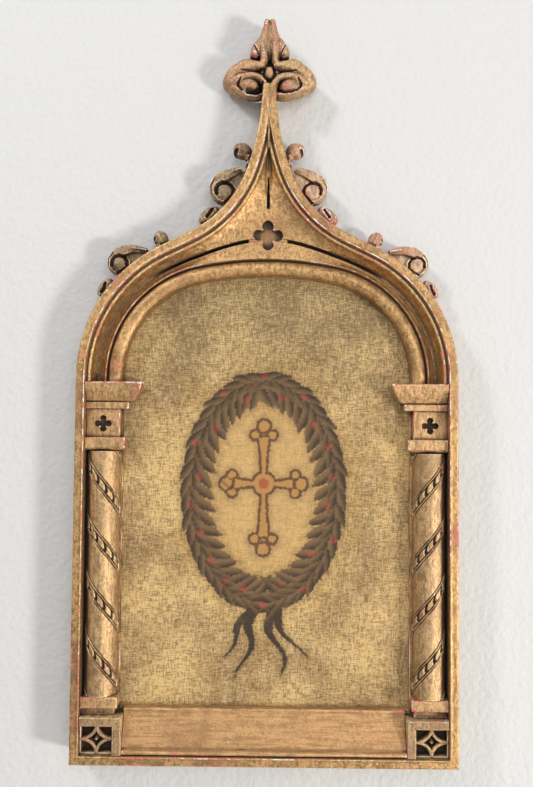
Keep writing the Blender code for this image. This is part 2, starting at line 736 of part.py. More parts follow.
def shaft_rings():
    """Rows that run as helices, so that each band's rims and blocks lie along mesh edges."""
    axis_depth = WEB_DEPTH + FIT_GAP
    angles = shaft_angles()
    top = SHAFT_TOP - FIT_GAP

    def ring(level, rise):
        points = []
        for angle, raised in angles:
            radius = SHAFT_RADIUS + rise(raised)
            points.append(
                (
                    SHAFT_CENTRE - radius * math.sin(angle),
                    axis_depth + radius * math.cos(angle),
                    level(angle),
                )
            )
        return points

    rings = [ring(lambda angle: top, lambda raised: 0.0)]
    slope = math.cos(math.atan2(BAND_DROP, math.pi * SHAFT_RADIUS))
    for band in range(BAND_COUNT):
        first = SHAFT_TOP - 0.0026 - BAND_DROP * band

        def helix(offset, start=first):
            drop = BAND_DROP / math.pi
            return lambda angle: start - drop * (angle + math.pi / 2) + offset / slope

        for offset, rise in (
            (1.00, lambda raised: 0.0),
            (0.80, lambda raised: BAND_RISE),
            (0.56, lambda raised: BAND_RISE * 0.8 if raised else -BAND_RISE * 0.5),
            (-0.56, lambda raised: BAND_RISE * 0.8 if raised else -BAND_RISE * 0.5),
            (-0.80, lambda raised: BAND_RISE),
            (-1.00, lambda raised: 0.0),
        ):
            level = helix(offset * BAND_HALF_WIDTH)
            rings.append(
                ring(lambda angle, level=level: min(max(level(angle), SHAFT_BOTTOM + 1e-4), top - 1e-4), rise)
            )
    rings.append(ring(lambda angle: SHAFT_BOTTOM, lambda raised: 0.0))
    return rings


def corner_square():
    """The tracery opening: (left, right, bottom, top) of the right-hand block, inside its two borders."""
    left = BLOCK_INNER + BLOCK_BORDER
    bottom = FILLET_WIDTH + FIT_GAP
    top = BLOCK_TOP - BLOCK_BORDER
    return left, FRONT_INNER, bottom, top


def rectangle(left, right, bottom, top):
    return [(left, height(bottom)), (right, height(bottom)), (right, height(top)), (left, height(top))]


def tracery_holes():
    """Four corner holes and a hollow-sided star between the four curved bars."""
    left, right, bottom, top = corner_square()
    half_x, half_z = (right - left) / 2, (top - bottom) / 2
    cx, cz = (left + right) / 2, (bottom + top) / 2
    rim = 0.0009
    holes = []
    star = []
    for sx, sz in ((1, 1), (-1, 1), (-1, -1), (1, -1)):
        corner = (cx + sx * half_x, cz + sz * half_z)
        hole = [(corner[0] - sx * rim, corner[1] - sz * rim)]
        edge = []
        for step in range(5):
            angle = math.radians(lerp(7, 83, step / 4))
            inner = 1 - TRACERY_BAR / (2 * half_x)
            outer = 1 + TRACERY_BAR / (2 * half_x)
            hole.append(
                (
                    corner[0] - sx * half_x * inner * 0.95 * math.cos(angle),
                    corner[1] - sz * half_z * inner * 0.95 * math.sin(angle),
                )
            )
            edge.append(
                (
                    corner[0] - sx * half_x * outer * math.cos(math.radians(lerp(32, 58, step / 4))),
                    corner[1] - sz * half_z * outer * math.sin(math.radians(lerp(32, 58, step / 4))),
                )
            )
        holes.append([(x, height(z)) for x, z in hole])
        star += edge if sx * sz < 0 else edge[::-1]
    holes.append([(x, height(z)) for x, z in star])
    return holes


def make_corner_blocks(parts, tools, dark_gilt):
    back = WEB_DEPTH + FIT_GAP
    tracery_front = THICKNESS - TRACERY_SETBACK
    left, right, bottom, top = corner_square()
    border = [
        (BLOCK_INNER, height(bottom)),
        (left, height(bottom)),
        (left, height(top)),
        (right, height(top)),
        (right, height(BLOCK_TOP)),
        (BLOCK_INNER, height(BLOCK_TOP)),
    ]
    overlap = 0.0006
    plate = rectangle(left - overlap, right - overlap / 3, bottom + overlap / 3, top + overlap)
    floor = rectangle(left - 2 * overlap, right - overlap / 2, bottom + overlap / 2, top + 2 * overlap)
    for side, word in ((-1, "left"), (1, "right")):
        name = f"corner_tracery_{word}"
        body = side_of(name, prism(name, [border], back, THICKNESS - BLOCK_SETBACK), side)
        block = add_object(name, body, parts, dark_gilt)
        bars = prism("bars", [plate] + tracery_holes(), back + 2 * overlap, tracery_front)
        boolean(block, side_of("bars", bars, side), "UNION", tools)
        ground = prism("floor", [floor], back + overlap, TRACERY_FLOOR)
        boolean(block, side_of("floor", ground, side), "UNION", tools)
        bm = bmesh.new()
        bmesh.ops.create_cone(
            bm, cap_ends=True, segments=4, radius1=STUD_SIZE * 1.25, radius2=STUD_SIZE * 0.35,
            depth=tracery_front - TRACERY_FLOOR + 0.002,
        )
        middle = (tracery_front + TRACERY_FLOOR) / 2
        stand = Matrix.Translation(((left + right) / 2, -middle, height((bottom + top) / 2)))
        bmesh.ops.transform(bm, matrix=stand @ Matrix.Rotation(math.pi / 2, 4, "X"), verts=bm.verts)
        boolean(block, side_of("stud", mesh_from("stud", bm), side), "UNION", tools)


def make_sill(parts, gilt):
    """The weathered sill: its face slopes back to a ledge that laps over the bottom rail to the picture."""
    foot = FILLET_WIDTH + FIT_GAP
    back = WEB_DEPTH + FIT_GAP
    lip = PANEL_DEPTH + 2 * FIT_GAP
    profile = [(back, foot)]
    profile += [(THICKNESS - setback, foot + rise) for setback, rise in SILL_NOSE]
    profile += [(THICKNESS - setback, SILL_TOP + rise) for setback, rise in SILL_HEAD]
    profile += [(lip, SILL_TOP), (lip, SIGHT_BOTTOM + FIT_GAP), (back, SIGHT_BOTTOM + FIT_GAP)]
    end = BLOCK_INNER - FIT_GAP
    rings = [[(x, depth, z) for depth, z in profile] for x in (-end, end)]
    add_object("sill_rail", loft("sill_rail", rings), parts, gilt)


def crocket_point(along, outward):
    """A point beside the outer edge, from a distance along it and a distance out from it."""
    x, z = outer_point(along, -outward)
    return x, height(z)


def strip(start, end, near, far, steps=8):
    """A band that follows the outer edge."""
    inner = [crocket_point(lerp(start, end, i / steps), near) for i in range(steps + 1)]
    outer = [crocket_point(lerp(start, end, i / steps), far) for i in range(steps + 1)]
    return inner + outer[::-1]


def volute_point(at, scale, degrees):
    """A point of the scroll's centre line, which falls from the tail on the edge and curls round the eye."""
    reach = scale * (CROCKET_RING + CROCKET_TAIL * math.exp(-(degrees + 14) / 32))
    outward = scale * CROCKET_STANDOFF + reach * math.sin(math.radians(degrees))
    least = scale * CROCKET_STEM * 1.45
    return crocket_point(at + reach * math.cos(math.radians(degrees)), max(outward, least))


def volute(at, scale, steps=12):
    """The crocket's curled stem as a tube, broadest where it leaves the edge and flattened front and back."""
    curve = bpy.data.curves.new("volute", "CURVE")
    curve.dimensions = "3D"
    curve.bevel_depth = scale * CROCKET_STEM
    curve.bevel_resolution = 1
    curve.use_fill_caps = True
    spline = curve.splines.new("POLY")
    spline.points.add(steps)
    for step, point in enumerate(spline.points):
        degrees = lerp(-10, 250, step / steps)
        x, z = volute_point(at, scale, degrees)
        point.co = (x, 0.0, z, 1.0)
        swell = lerp(1.0, 1.85, smooth((degrees + 10) / 38))
        point.radius = swell * lerp(1.0, 0.42, smooth((degrees - 30) / 190))
    back, front = CROCKET_DEPTHS
    middle = (front + back) / 2
    deepen = (front - back) / 2 / (scale * CROCKET_STEM)
    mesh = curve_solid(curve, Matrix.Translation((0, -middle, 0)) @ Matrix.Diagonal((1, deepen, 1, 1)))
    for vert in mesh.vertices:
        vert.co.y = -min(max(-vert.co.y, back + 0.0006), front - 0.0004)
    return mesh


def make_crocket(name, at, scale, side, parts, tools, patina):
    """A scroll on a foot that follows the gable's edge, with a bud above it and a small lobe below."""
    back, front = CROCKET_DEPTHS
    low = at + scale * (CROCKET_LOBE_PLACE[0] - 0.8 * CROCKET_LOBE[0])
    high = at + scale * (CROCKET_BUD_PLACE[0] + 0.3 * CROCKET_BUD)
    base = prism(name, [strip(low, high, FIT_GAP * 1.5, CROCKET_FOOT)], back, lerp(back, front, 0.7))
    crocket = add_object(name, side_of(name, base, side), parts, patina)
    web = [volute_point(at, scale, lerp(-10, 215, step / 12)) for step in range(13)]
    web += [crocket_point(at + scale * share * CROCKET_RING, 0.4 * CROCKET_FOOT) for share in (-0.8, 2.9)]
    boolean(crocket, side_of("web", prism("web", [web], back + 0.0003, back + CROCKET_WEB), side), "UNION", tools)
    boolean(crocket, side_of("volute", volute(at, scale), side), "UNION", tools)
    middle = (front + back) / 2
    half_depth = (front - back) / 2
    lumps = (
        ("eye", (0.0, CROCKET_STANDOFF), (CROCKET_EYE, CROCKET_EYE), 0.90),
        ("bud", CROCKET_BUD_PLACE, (CROCKET_BUD, CROCKET_BUD * 1.1), 1.0),
        ("neck", CROCKET_NECK_PLACE, CROCKET_NECK, 0.72),
        ("lobe", CROCKET_LOBE_PLACE, CROCKET_LOBE, 0.86),
    )
    for word, (along, outward), (length, width), share in lumps:
        x, z = crocket_point(at + scale * along, scale * outward)
        heading = walk((HALF_WIDTH, SPRINGING), OUTER_CHAIN, at + scale * along)[2]
        radii = (scale * length, scale * width, half_depth * share)
        lump = ellipsoid(word, (x, z, middle), radii, turn=math.pi / 2 - heading)
        boolean(crocket, side_of(word, lump, side), "UNION", tools)


def main():
    clear_scene()
    parts = new_collection("gothic_wall_plaque")
    tools = new_collection("cutters_and_tools")
    gilt = finish_material("worn_water_gilding", (0.46, 0.29, 0.09), 0.42, 0.75)
    dark_gilt = finish_material("dulled_gilding", (0.30, 0.20, 0.09), 0.55, 0.55)
    patina = finish_material("darkened_gilding", (0.20, 0.14, 0.08), 0.60, 0.40)
    canvas = finish_material("aged_canvas", (0.42, 0.33, 0.17), 0.85, 0.0)
    make_gable_frame(parts, tools, gilt)
    make_picture_panel(parts, canvas)
    make_sill(parts, gilt)
    make_corner_blocks(parts, tools, dark_gilt)
    for side, word in ((-1, "left"), (1, "right")):
        capital = add_object(
            f"capital_{word}", side_of("capital", moulded_block("capital", CAPITAL_FOOT, CAPITAL_PROFILE), side),
            parts, gilt,
        )
        foil_centre = (side * (DIE_INNER + DIE_WIDTH / 2), height(CAPITAL_FOOT + CAPITAL_FOIL_RISE))
        foil = quatrefoil(foil_centre, CAPITAL_FOIL_REACH, CAPITAL_FOIL_LOBE, 5)
        boolean(capital, prism("piercing", [foil], CAPITAL_FOIL_BACK, THICKNESS), "DIFFERENCE", tools)
        base = side_of("base", moulded_block("base", BASE_FOOT, BASE_PROFILE), side)
        add_object(f"column_base_{word}", base, parts, gilt)
        shaft = side_of("shaft", loft("shaft", shaft_rings()), side)
        add_object(f"column_{word}", shaft, parts, gilt)
        for where, distance in CROCKET_PLACES.items():
            scale = CROCKET_SCALES[where]
            make_crocket(f"crocket_{where}_{word}", distance, scale, side, parts, tools, patina)


main()
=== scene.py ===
import functools
import math

import bmesh
import bpy
import numpy as np
from mathutils import Matrix, Vector, noise


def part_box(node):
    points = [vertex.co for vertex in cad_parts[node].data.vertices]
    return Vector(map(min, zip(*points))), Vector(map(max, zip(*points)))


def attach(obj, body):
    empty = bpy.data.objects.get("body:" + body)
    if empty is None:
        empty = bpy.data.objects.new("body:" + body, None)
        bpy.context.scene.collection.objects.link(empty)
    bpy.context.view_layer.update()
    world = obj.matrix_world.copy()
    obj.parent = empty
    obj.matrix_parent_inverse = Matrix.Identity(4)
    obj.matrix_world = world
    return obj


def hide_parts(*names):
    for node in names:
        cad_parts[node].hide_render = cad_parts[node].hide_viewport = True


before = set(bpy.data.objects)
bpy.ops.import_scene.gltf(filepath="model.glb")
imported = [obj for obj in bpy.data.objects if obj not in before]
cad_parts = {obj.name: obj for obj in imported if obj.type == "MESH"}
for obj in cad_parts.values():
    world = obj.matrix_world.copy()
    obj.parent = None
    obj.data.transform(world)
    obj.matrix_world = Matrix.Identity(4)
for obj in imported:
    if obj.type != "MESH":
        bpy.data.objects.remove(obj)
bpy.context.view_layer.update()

# The gable frame
# The carved softwood body of the plaque: fillet, stiles, bottom fillet, arch mouldings and stem in one
# piece. It is cut with gouges and planes, coated with gesso and red bole, water gilt, and worn with age.

WIDTH = 0.305
THICKNESS = 0.028
WEB_DEPTH = 0.0133
FIT_GAP = 0.0003
MOUNT_HEIGHT = -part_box("gable_frame")[0][2]
SPRINGING = 0.3045
HALF_WIDTH = WIDTH / 2
SIGHT_HALF_WIDTH = HALF_WIDTH - 0.0360
SIGHT_BOTTOM = 0.038
CAPITAL_TOP = SPRINGING - 0.0040
FILLET_WIDTH = 0.0076
SHOULDER_RADIUS, SHOULDER_TURN = 0.118, 64.0
OGEE_RADIUS, OGEE_END_HEADING = 0.094, 18.0
STEM_RADIUS, STEM_END_HEADING = 0.229, 4.5
STEM_TOP_LENGTH, STEM_HALF_WIDTH = 0.014, 0.00486
HAUNCH_RADIUS, CROWN_RADIUS = 0.080, 0.260
REBATE_WIDTH, REBATE_DEPTH = 0.005, 0.0103
ROLL_WIDTH, ROLL_RISE, ROLL_FOOT = 0.0112, 0.0048, 0.0178
RIDGE_OFFSET, RIDGE_DEPTH, QUIRK_DEPTH = 0.0139, 0.0195, 0.0165
VALLEY_BAND, VALLEY_GROWTH, VALLEY_DEPTH = 0.0063, 0.0092, 0.0146
PLATE_DEPTH, SLIT_DEPTH, SLIT_HALF_WIDTH = 0.0190, 0.0080, 0.0016
SLIT_RISE, SLIT_LENGTH = 0.0254, 0.0270


def lerp(a, b, share):
    return a + (b - a) * share


def smooth(value):
    value = min(max(value, 0.0), 1.0)
    return value * value * (3 - 2 * value)


def chain_length(chain):
    return sum(abs(radius * math.radians(turn)) if turn else radius for radius, turn in chain)


def walk(start, chain, distance):
    """Point and heading after a distance along a chain of (radius, turn) arcs and (length, 0) straights."""
    x, z = start
    heading = 0.0
    for radius, turn in chain:
        length = abs(radius * math.radians(turn)) if turn else radius
        step = min(distance, length)
        if turn:
            new = heading + math.radians(turn) * step / length
            side = math.copysign(radius, turn)
            x += side * (math.cos(new) - math.cos(heading))
            z += side * (math.sin(new) - math.sin(heading))
            heading = new
        else:
            x -= step * math.sin(heading)
            z += step * math.cos(heading)
        distance -= step
        if distance <= 0:
            return x, z, heading
    x -= distance * math.sin(heading)
    z += distance * math.cos(heading)
    return x, z, heading


def ogee_chain(slope_length):
    return (
        (SHOULDER_RADIUS, SHOULDER_TURN),
        (slope_length, 0.0),
        (OGEE_RADIUS, OGEE_END_HEADING - SHOULDER_TURN),
        (STEM_RADIUS, STEM_END_HEADING - OGEE_END_HEADING),
        (STEM_TOP_LENGTH, 0.0),
    )


BARE_END = walk((HALF_WIDTH, SPRINGING), ogee_chain(0.0), chain_length(ogee_chain(0.0)))[0]
SLOPE_LENGTH = (BARE_END - STEM_HALF_WIDTH) / math.sin(math.radians(SHOULDER_TURN))
OUTER_CHAIN = ogee_chain(SLOPE_LENGTH)
OUTER_LENGTH = chain_length(OUTER_CHAIN)
HAUNCH_TURN = math.degrees(math.acos((SIGHT_HALF_WIDTH - HAUNCH_RADIUS) / (CROWN_RADIUS - HAUNCH_RADIUS)))
ARCH_CHAIN = ((HAUNCH_RADIUS, HAUNCH_TURN), (CROWN_RADIUS, 90.0 - HAUNCH_TURN))
ARCH_LENGTH = chain_length(ARCH_CHAIN)


def outer_point(distance, inward=0.0):
    x, z, heading = walk((HALF_WIDTH, SPRINGING), OUTER_CHAIN, distance)
    return x - inward * math.cos(heading), z - inward * math.sin(heading)


def arch_point(distance, outward=0.0):
    x, z, heading = walk((SIGHT_HALF_WIDTH, SPRINGING), ARCH_CHAIN, distance)
    return x + outward * math.cos(heading), z + outward * math.sin(heading)


def crossing_height(distance):
    x, z, heading = walk((HALF_WIDTH, SPRINGING), OUTER_CHAIN, distance)
    return z - x * math.tan(heading)


def outer_distance_for(centre_height):
    low, high = chain_length(OUTER_CHAIN[:2]), OUTER_LENGTH
    for _ in range(40):
        middle = (low + high) / 2
        low, high = (middle, high) if crossing_height(middle) < centre_height else (low, middle)
    return low


def valley_offset(share):
    return RIDGE_OFFSET + VALLEY_BAND + VALLEY_GROWTH * smooth((share - 0.55) / 0.45)


PLATE_CENTRE = arch_point(ARCH_LENGTH)[1] + valley_offset(1.0)
MEETING = outer_distance_for(PLATE_CENTRE)
SHOULDER_END = chain_length(OUTER_CHAIN[:1])
HAUNCH_MATCH = HAUNCH_RADIUS * math.radians(SHOULDER_TURN)
SLIT_START, SLIT_END = 0.58, 0.915

# Members that follow the outer edge, in millimetres: distance in from the edge, depth from the wall.
OUTER_MEMBERS = [
    (0.0, 0.0), (0.0, 9.0), (0.0, 18.0), (0.0, 25.6), (0.1, 26.6), (0.4, 27.3), (0.9, 27.6), (2.0, 27.6),
    (3.2, 27.5), (4.4, 27.5), (5.3, 27.4), (5.8, 27.6), (6.2, 27.9), (6.7, 28.0), (7.1, 27.8), (7.4, 27.2),
    (7.6, 26.6), (7.8, 25.6), (8.2, 24.9), (8.6, 24.8), (9.0, 25.1), (9.5, 25.5), (10.1, 25.6), (10.7, 25.5),
    (11.2, 25.0), (11.6, 24.2), (11.8, 23.4),
]
OUTER_MEMBERS = [(inward / 1000, depth / 1000) for inward, depth in OUTER_MEMBERS]
# The cove between the outer members and the valley: how it falls and runs, and where it eases.
COVE_ANGLES = range(9, 90, 9)
COVE_FALL, COVE_RUN, COVE_REACH, COVE_BEND = 0.0118, 0.0042, 0.012, 0.62
# Shares of the way across the slit beside the quatrefoil, and down the slope to the ridge.
SLIT_SHARES = (1.0, 0.84, 0.56, 0.0, -0.56, -0.84, -1.0)
SLIT_SLOPE = 0.44
SLOPE_SHARES = (0.2, 0.4, 0.6, 0.75, 0.87, 0.95)
RIDGE_MEMBERS = [
    (RIDGE_OFFSET, RIDGE_DEPTH), (RIDGE_OFFSET - 0.0005, RIDGE_DEPTH - 0.0004),
    (RIDGE_OFFSET - 0.0011, RIDGE_DEPTH - 0.0019), (ROLL_WIDTH + 0.0008, QUIRK_DEPTH),
    (ROLL_WIDTH + 0.0001, QUIRK_DEPTH),
]
REBATE_MEMBERS = [
    (0.0, ROLL_FOOT - 0.0016), (0.0, 0.0130), (0.0, REBATE_DEPTH), (REBATE_WIDTH, REBATE_DEPTH),
    (REBATE_WIDTH, 0.0050), (REBATE_WIDTH, 0.0),
]


def hollow_step(angle, reach):
    """Distance across the cove at an angle of its quarter turn: quick at the fillet, easy at the valley."""
    share, turn = angle / 90, math.radians(angle)
    near = min(COVE_FALL * (1 - math.cos(turn)) + COVE_RUN * math.sin(turn), reach)
    easing = smooth((share - COVE_BEND) / (1 - COVE_BEND)) if reach > COVE_REACH else share**2
    return lerp(near * min(1.0, reach / COVE_REACH), reach, easing)


def valley_depths(share):
    edge = lerp(VALLEY_DEPTH, PLATE_DEPTH, smooth((share - 0.5) / 0.4))
    cut = smooth((share - 0.45) / (SLIT_START - 0.45)) * smooth((SLIT_END - share) / 0.012)
    return edge, lerp(edge - 0.0009, SLIT_DEPTH, cut)


def arch_section(outer_distance, arch_distance):
    """One section of the arch mouldings as (x, height, depth), from the outer edge to the rebate's back."""
    share = arch_distance / ARCH_LENGTH
    edge_depth, bottom_depth = valley_depths(share)
    section = [(*outer_point(outer_distance, inward), depth) for inward, depth in OUTER_MEMBERS]
    last = Vector(section[-1])
    valley = valley_offset(share)
    edge = Vector((*arch_point(arch_distance, valley + SLIT_HALF_WIDTH), edge_depth))
    reach = (edge - last).length
    for angle in COVE_ANGLES:
        point = last.lerp(edge, hollow_step(angle, reach) / reach)
        section.append((point.x, point.y, lerp(last.z, edge_depth, math.sin(math.radians(angle)))))
    inner = []
    for place in SLIT_SHARES:
        sunk = smooth((1 - abs(place)) / SLIT_SLOPE)
        inner.append((valley + place * SLIT_HALF_WIDTH, lerp(edge_depth, bottom_depth, sunk)))
    for place in SLOPE_SHARES:
        across = lerp(valley - SLIT_HALF_WIDTH, RIDGE_OFFSET, place)
        inner.append((across, lerp(edge_depth, RIDGE_DEPTH, place**1.75)))
    inner += RIDGE_MEMBERS
    for step in range(14):
        angle = math.pi * lerp(0.02, 0.97, step / 13)
        inner.append((ROLL_WIDTH / 2 * (1 + math.cos(angle)), ROLL_FOOT + ROLL_RISE * math.sin(angle)))
    inner += REBATE_MEMBERS
    return section + [(*arch_point(arch_distance, across), depth) for across, depth in inner]


FRAME_COLUMNS = len(arch_section(0.0, 0.0))
VALLEY_COLUMN = len(OUTER_MEMBERS) + len(COVE_ANGLES) + SLIT_SHARES.index(0.0)
FILLET_COLUMNS = 16


def web_section(place):
    """A stile or bottom section: the fillet, then the flat web that columns and sill are glued to."""
    section = []
    for index, (x, _, depth) in enumerate(arch_section(0.0, 0.0)):
        inward = HALF_WIDTH - x
        if FILLET_COLUMNS <= index < FRAME_COLUMNS - 4:
            depth = WEB_DEPTH
            inward = max(inward, FILLET_WIDTH)
        section.append((*place(inward), depth))
    return section


def rail_height(inward):
    if inward <= FILLET_WIDTH:
        return inward
    return FILLET_WIDTH + (inward - FILLET_WIDTH) * (SIGHT_BOTTOM - FILLET_WIDTH) / (
        HALF_WIDTH - SIGHT_HALF_WIDTH - FILLET_WIDTH)


def between(first, second, steps):
    """Sections evenly between two, the first included."""
    return [
        [tuple(lerp(a, b, step / steps) for a, b in zip(one, other)) for one, other in zip(first, second)]
        for step in range(steps)
    ]


STEM_SPACING = 0.00004


def stem_section(centre_height):
    """A section above the plate, from the outer edge to the middle line, where the members close up."""
    slit_bottom = PLATE_CENTRE + SLIT_RISE
    slit_top = slit_bottom + SLIT_LENGTH
    stem_top = crossing_height(OUTER_LENGTH)
    above = (centre_height - slit_top) / (stem_top - slit_top)
    seam = THICKNESS - 0.0014
    floor = lerp(PLATE_DEPTH, PLATE_DEPTH - 0.0016, smooth((centre_height - slit_bottom) / SLIT_LENGTH))
    floor = lerp(floor, PLATE_DEPTH + 0.0025, smooth(above / 0.30))
    floor = lerp(floor, seam, smooth((above - 0.25) / 0.25))
    cut = smooth((centre_height - slit_bottom) / 0.0015) * smooth((slit_top - centre_height) / 0.006)
    sunk = lerp(0.0009 * smooth(above / 0.2), floor - SLIT_DEPTH, cut)
    half = SLIT_HALF_WIDTH * lerp(1.0, 0.45, smooth((centre_height - slit_bottom) / SLIT_LENGTH))
    outer = Vector(outer_point(outer_distance_for(centre_height)))
    centre = Vector((0.0, centre_height))
    room = (centre - outer).length
    last = OUTER_MEMBERS[-1]
    edge = max(room - half, 0.0)
    reach = max(edge - last[0], 0.0)
    wanted = list(OUTER_MEMBERS)
    for angle in COVE_ANGLES:
        across = hollow_step(angle, reach) if reach > 0 else 0.0
        wanted.append((last[0] + across, lerp(last[1], floor, math.sin(math.radians(angle)))))
    for place in SLIT_SHARES[:3]:
        wanted.append((room - place * half, floor - sunk * smooth((1 - place) / SLIT_SLOPE)))
    section = []
    for index, (inward, depth) in enumerate(wanted):
        limit = room - STEM_SPACING * (len(wanted) - index)
        if inward > limit and index < len(wanted) - 3:
            depth = max(depth, lerp(floor, THICKNESS, 0.8))
        point = outer.lerp(centre, min(inward, limit) / room)
        section.append((max(point.x, 0.00003), point.y, min(depth, THICKNESS)))
    section.append((0.0, centre_height, floor - sunk))
    return section


def draped_grid(rows):
    """A grid that takes its places from rows of (x, height above the underside, depth)."""
    bm = bmesh.new()
    across, up = len(rows[0]) - 1, len(rows) - 1
    bmesh.ops.create_grid(bm, x_segments=across, y_segments=up, size=1.0)
    for vert in bm.verts:
        x, z, depth = rows[round((vert.co.y + 1) / 2 * up)][round((vert.co.x + 1) / 2 * across)]
        vert.co = (x, -depth, z - MOUNT_HEIGHT)
    return bm


def mesh_of(name, *shapes):
    """One mesh from one or several bmeshes, which are freed."""
    whole = bmesh.new()
    for shape in shapes:
        part = bpy.data.meshes.new(name)
        shape.to_mesh(part)
        shape.free()
        whole.from_mesh(part)
        bpy.data.meshes.remove(part)
    mesh = bpy.data.meshes.new(name)
    whole.to_mesh(mesh)
    whole.free()
    return mesh


def merged(mesh, mirror=False):
    """Merges doubles, mirrors the right half if asked, and turns the faces outwards."""
    bm = bmesh.new()
    bm.from_mesh(mesh)
    bmesh.ops.remove_doubles(bm, verts=bm.verts, dist=1e-5)
    if mirror:
        bmesh.ops.mirror(bm, geom=bm.verts[:] + bm.edges[:] + bm.faces[:], axis="X", merge_dist=2e-5)
    bmesh.ops.dissolve_degenerate(bm, edges=bm.edges, dist=1e-6)
    many_sided = [face for face in bm.faces if len(face.verts) > 4]
    bmesh.ops.triangulate(bm, faces=many_sided, ngon_method="BEAUTY")
    bmesh.ops.recalc_face_normals(bm, faces=bm.faces)
    return mesh_of(mesh.name, bm)


def closed(bm, gap=0.0):
    """Merges doubles within the gap, fills the open ends and turns the faces outwards."""
    if gap:
        bmesh.ops.remove_doubles(bm, verts=bm.verts, dist=gap)
    bmesh.ops.holes_fill(bm, edges=[edge for edge in bm.edges if edge.is_boundary], sides=0)
    bmesh.ops.recalc_face_normals(bm, faces=bm.faces)
    return bm


def places_of(mesh):
    """The places of a mesh's points, one to a row."""
    table = np.empty(len(mesh.vertices) * 3, dtype=np.float32)
    mesh.vertices.foreach_get("co", table)
    return table.reshape(-1, 3).astype(np.float64)


def normals_of(mesh):
    """The directions in which a mesh's points face, one to a row."""
    table = np.empty(len(mesh.vertices) * 3, dtype=np.float32)
    mesh.vertex_normals.foreach_get("vector", table)
    return table.reshape(-1, 3).astype(np.float64)


def set_places(mesh, places):
    mesh.vertices.foreach_set("co", places.ravel().astype(np.float32))
    mesh.update()
    return mesh


def hand_carved(mesh, depth, wavelength, seed, finest=0.25):
    """Moves the surface along its normals by a soft uneven amount, as a gouge and sandpaper leave it."""
    places, facing = places_of(mesh), normals_of(mesh)
    shift = Vector((seed * 7.3, seed * 3.1, seed))
    swell = np.empty(len(places))
    for index, place in enumerate(places / wavelength):
        spot = Vector(place) + shift
        swell[index] = noise.noise(spot) + finest * noise.noise(spot * 4.3)
    return set_places(mesh, places + facing * swell[:, None] * depth)


def into_box(mesh, low, high):
    return set_places(mesh, np.clip(places_of(mesh), low, high))


def show_wear_and_shade_lines(mesh):
    """Stores how sharply each point stands out (positive), for wear, or lies in a crevice (negative), for
    dirt and painted shade.
    """
    count = len(mesh.vertices)
    place, facing = places_of(mesh), normals_of(mesh)
    ends = np.empty(len(mesh.edges) * 2, dtype=np.int32)
    mesh.edges.foreach_get("vertices", ends)
    a, b = ends.reshape(-1, 2).T
    span = place[b] - place[a]
    square = np.maximum((span**2).sum(1), 1e-8)
    ties = np.maximum(np.bincount(a, minlength=count) + np.bincount(b, minlength=count), 1)
    bend = np.bincount(a, -(span * facing[a]).sum(1) / square, count)
    bend += np.bincount(b, (span * facing[b]).sum(1) / square, count)
    bend = np.clip(bend / ties / 500, -1.0, 1.0)
    for _ in range(3):
        spread = np.bincount(a, bend[b], count) + np.bincount(b, bend[a], count)
        bend = 0.5 * bend + 0.5 * spread / ties
    layer = mesh.attributes.new("wear_and_shade_line", "FLOAT", "POINT")
    layer.data.foreach_set("value", bend.astype(np.float32))
    return mesh


def store_soot_and_shade(mesh, values):
    """Stores how much old dirt and painted shade darken each point, from 0 to 1."""
    layer = mesh.attributes.new("soot_and_shade", "FLOAT", "POINT")
    layer.data.foreach_set("value", np.asarray(values, dtype=np.float32))
    return mesh


def finished(name, mesh, material, replaced, smooth_angle=40):
    """Adds the piece, shades it smooth but for sharp edges, hangs it on the root body and hides the part it
    stands for.
    """
    piece = bpy.data.objects.new(name, mesh)
    bpy.context.scene.collection.objects.link(piece)
    mesh.shade_smooth()
    mesh.set_sharp_from_angle(angle=math.radians(smooth_angle))
    mesh.materials.append(material)
    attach(piece, "root")
    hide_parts(replaced)


def colour(code):
    """A linear colour from an sRGB hex code."""
    parts = [int(code[i:i + 2], 16) / 255 for i in (1, 3, 5)]
    return (*(c / 12.92 if c <= 0.04045 else ((c + 0.055) / 1.055) ** 2.4 for c in parts), 1.0)


def add_node(tree, kind, out=0, **settings):
    """Adds a shader node and returns one of its outputs. Lower-case words are the node's own settings; i0,
    i1 and capitalised words are its sockets, each given a value or another node's output."""
    node = tree.nodes.new("ShaderNode" + kind)
    for word, value in settings.items():
        if word[0].islower() and not word[1:].isdigit():
            setattr(node, word, value)
            continue
        socket = node.inputs[int(word[1:]) if word[0] == "i" else word.replace("_", " ")]
        if isinstance(value, bpy.types.NodeSocket):
            tree.links.new(value, socket)
        else:
            socket.default_value = value
    return node.outputs[out]


def new_material(name):
    """A new material, its shader, and add_node for its tree."""
    material = bpy.data.materials.new(name)
    material.use_nodes = True
    tree = material.node_tree
    return material, tree.nodes["Principled BSDF"], functools.partial(add_node, tree)


def coated(node, paint, *coats):
    """Lays coats over a paint. A coat is (pattern, its value where the coat begins, its value where the
    coat is full, greatest share, hex colour or paint, and how it comes in)."""
    for pattern, begins, full, most, tint, easing in coats:
        share = node("MapRange", interpolation_type=easing, Value=pattern, From_Min=begins, From_Max=full,
                     To_Max=most)
        over = colour(tint) if isinstance(tint, str) else tint
        paint = node("Mix", 2, data_type="RGBA", i0=share, i6=paint, i7=over)
    return paint


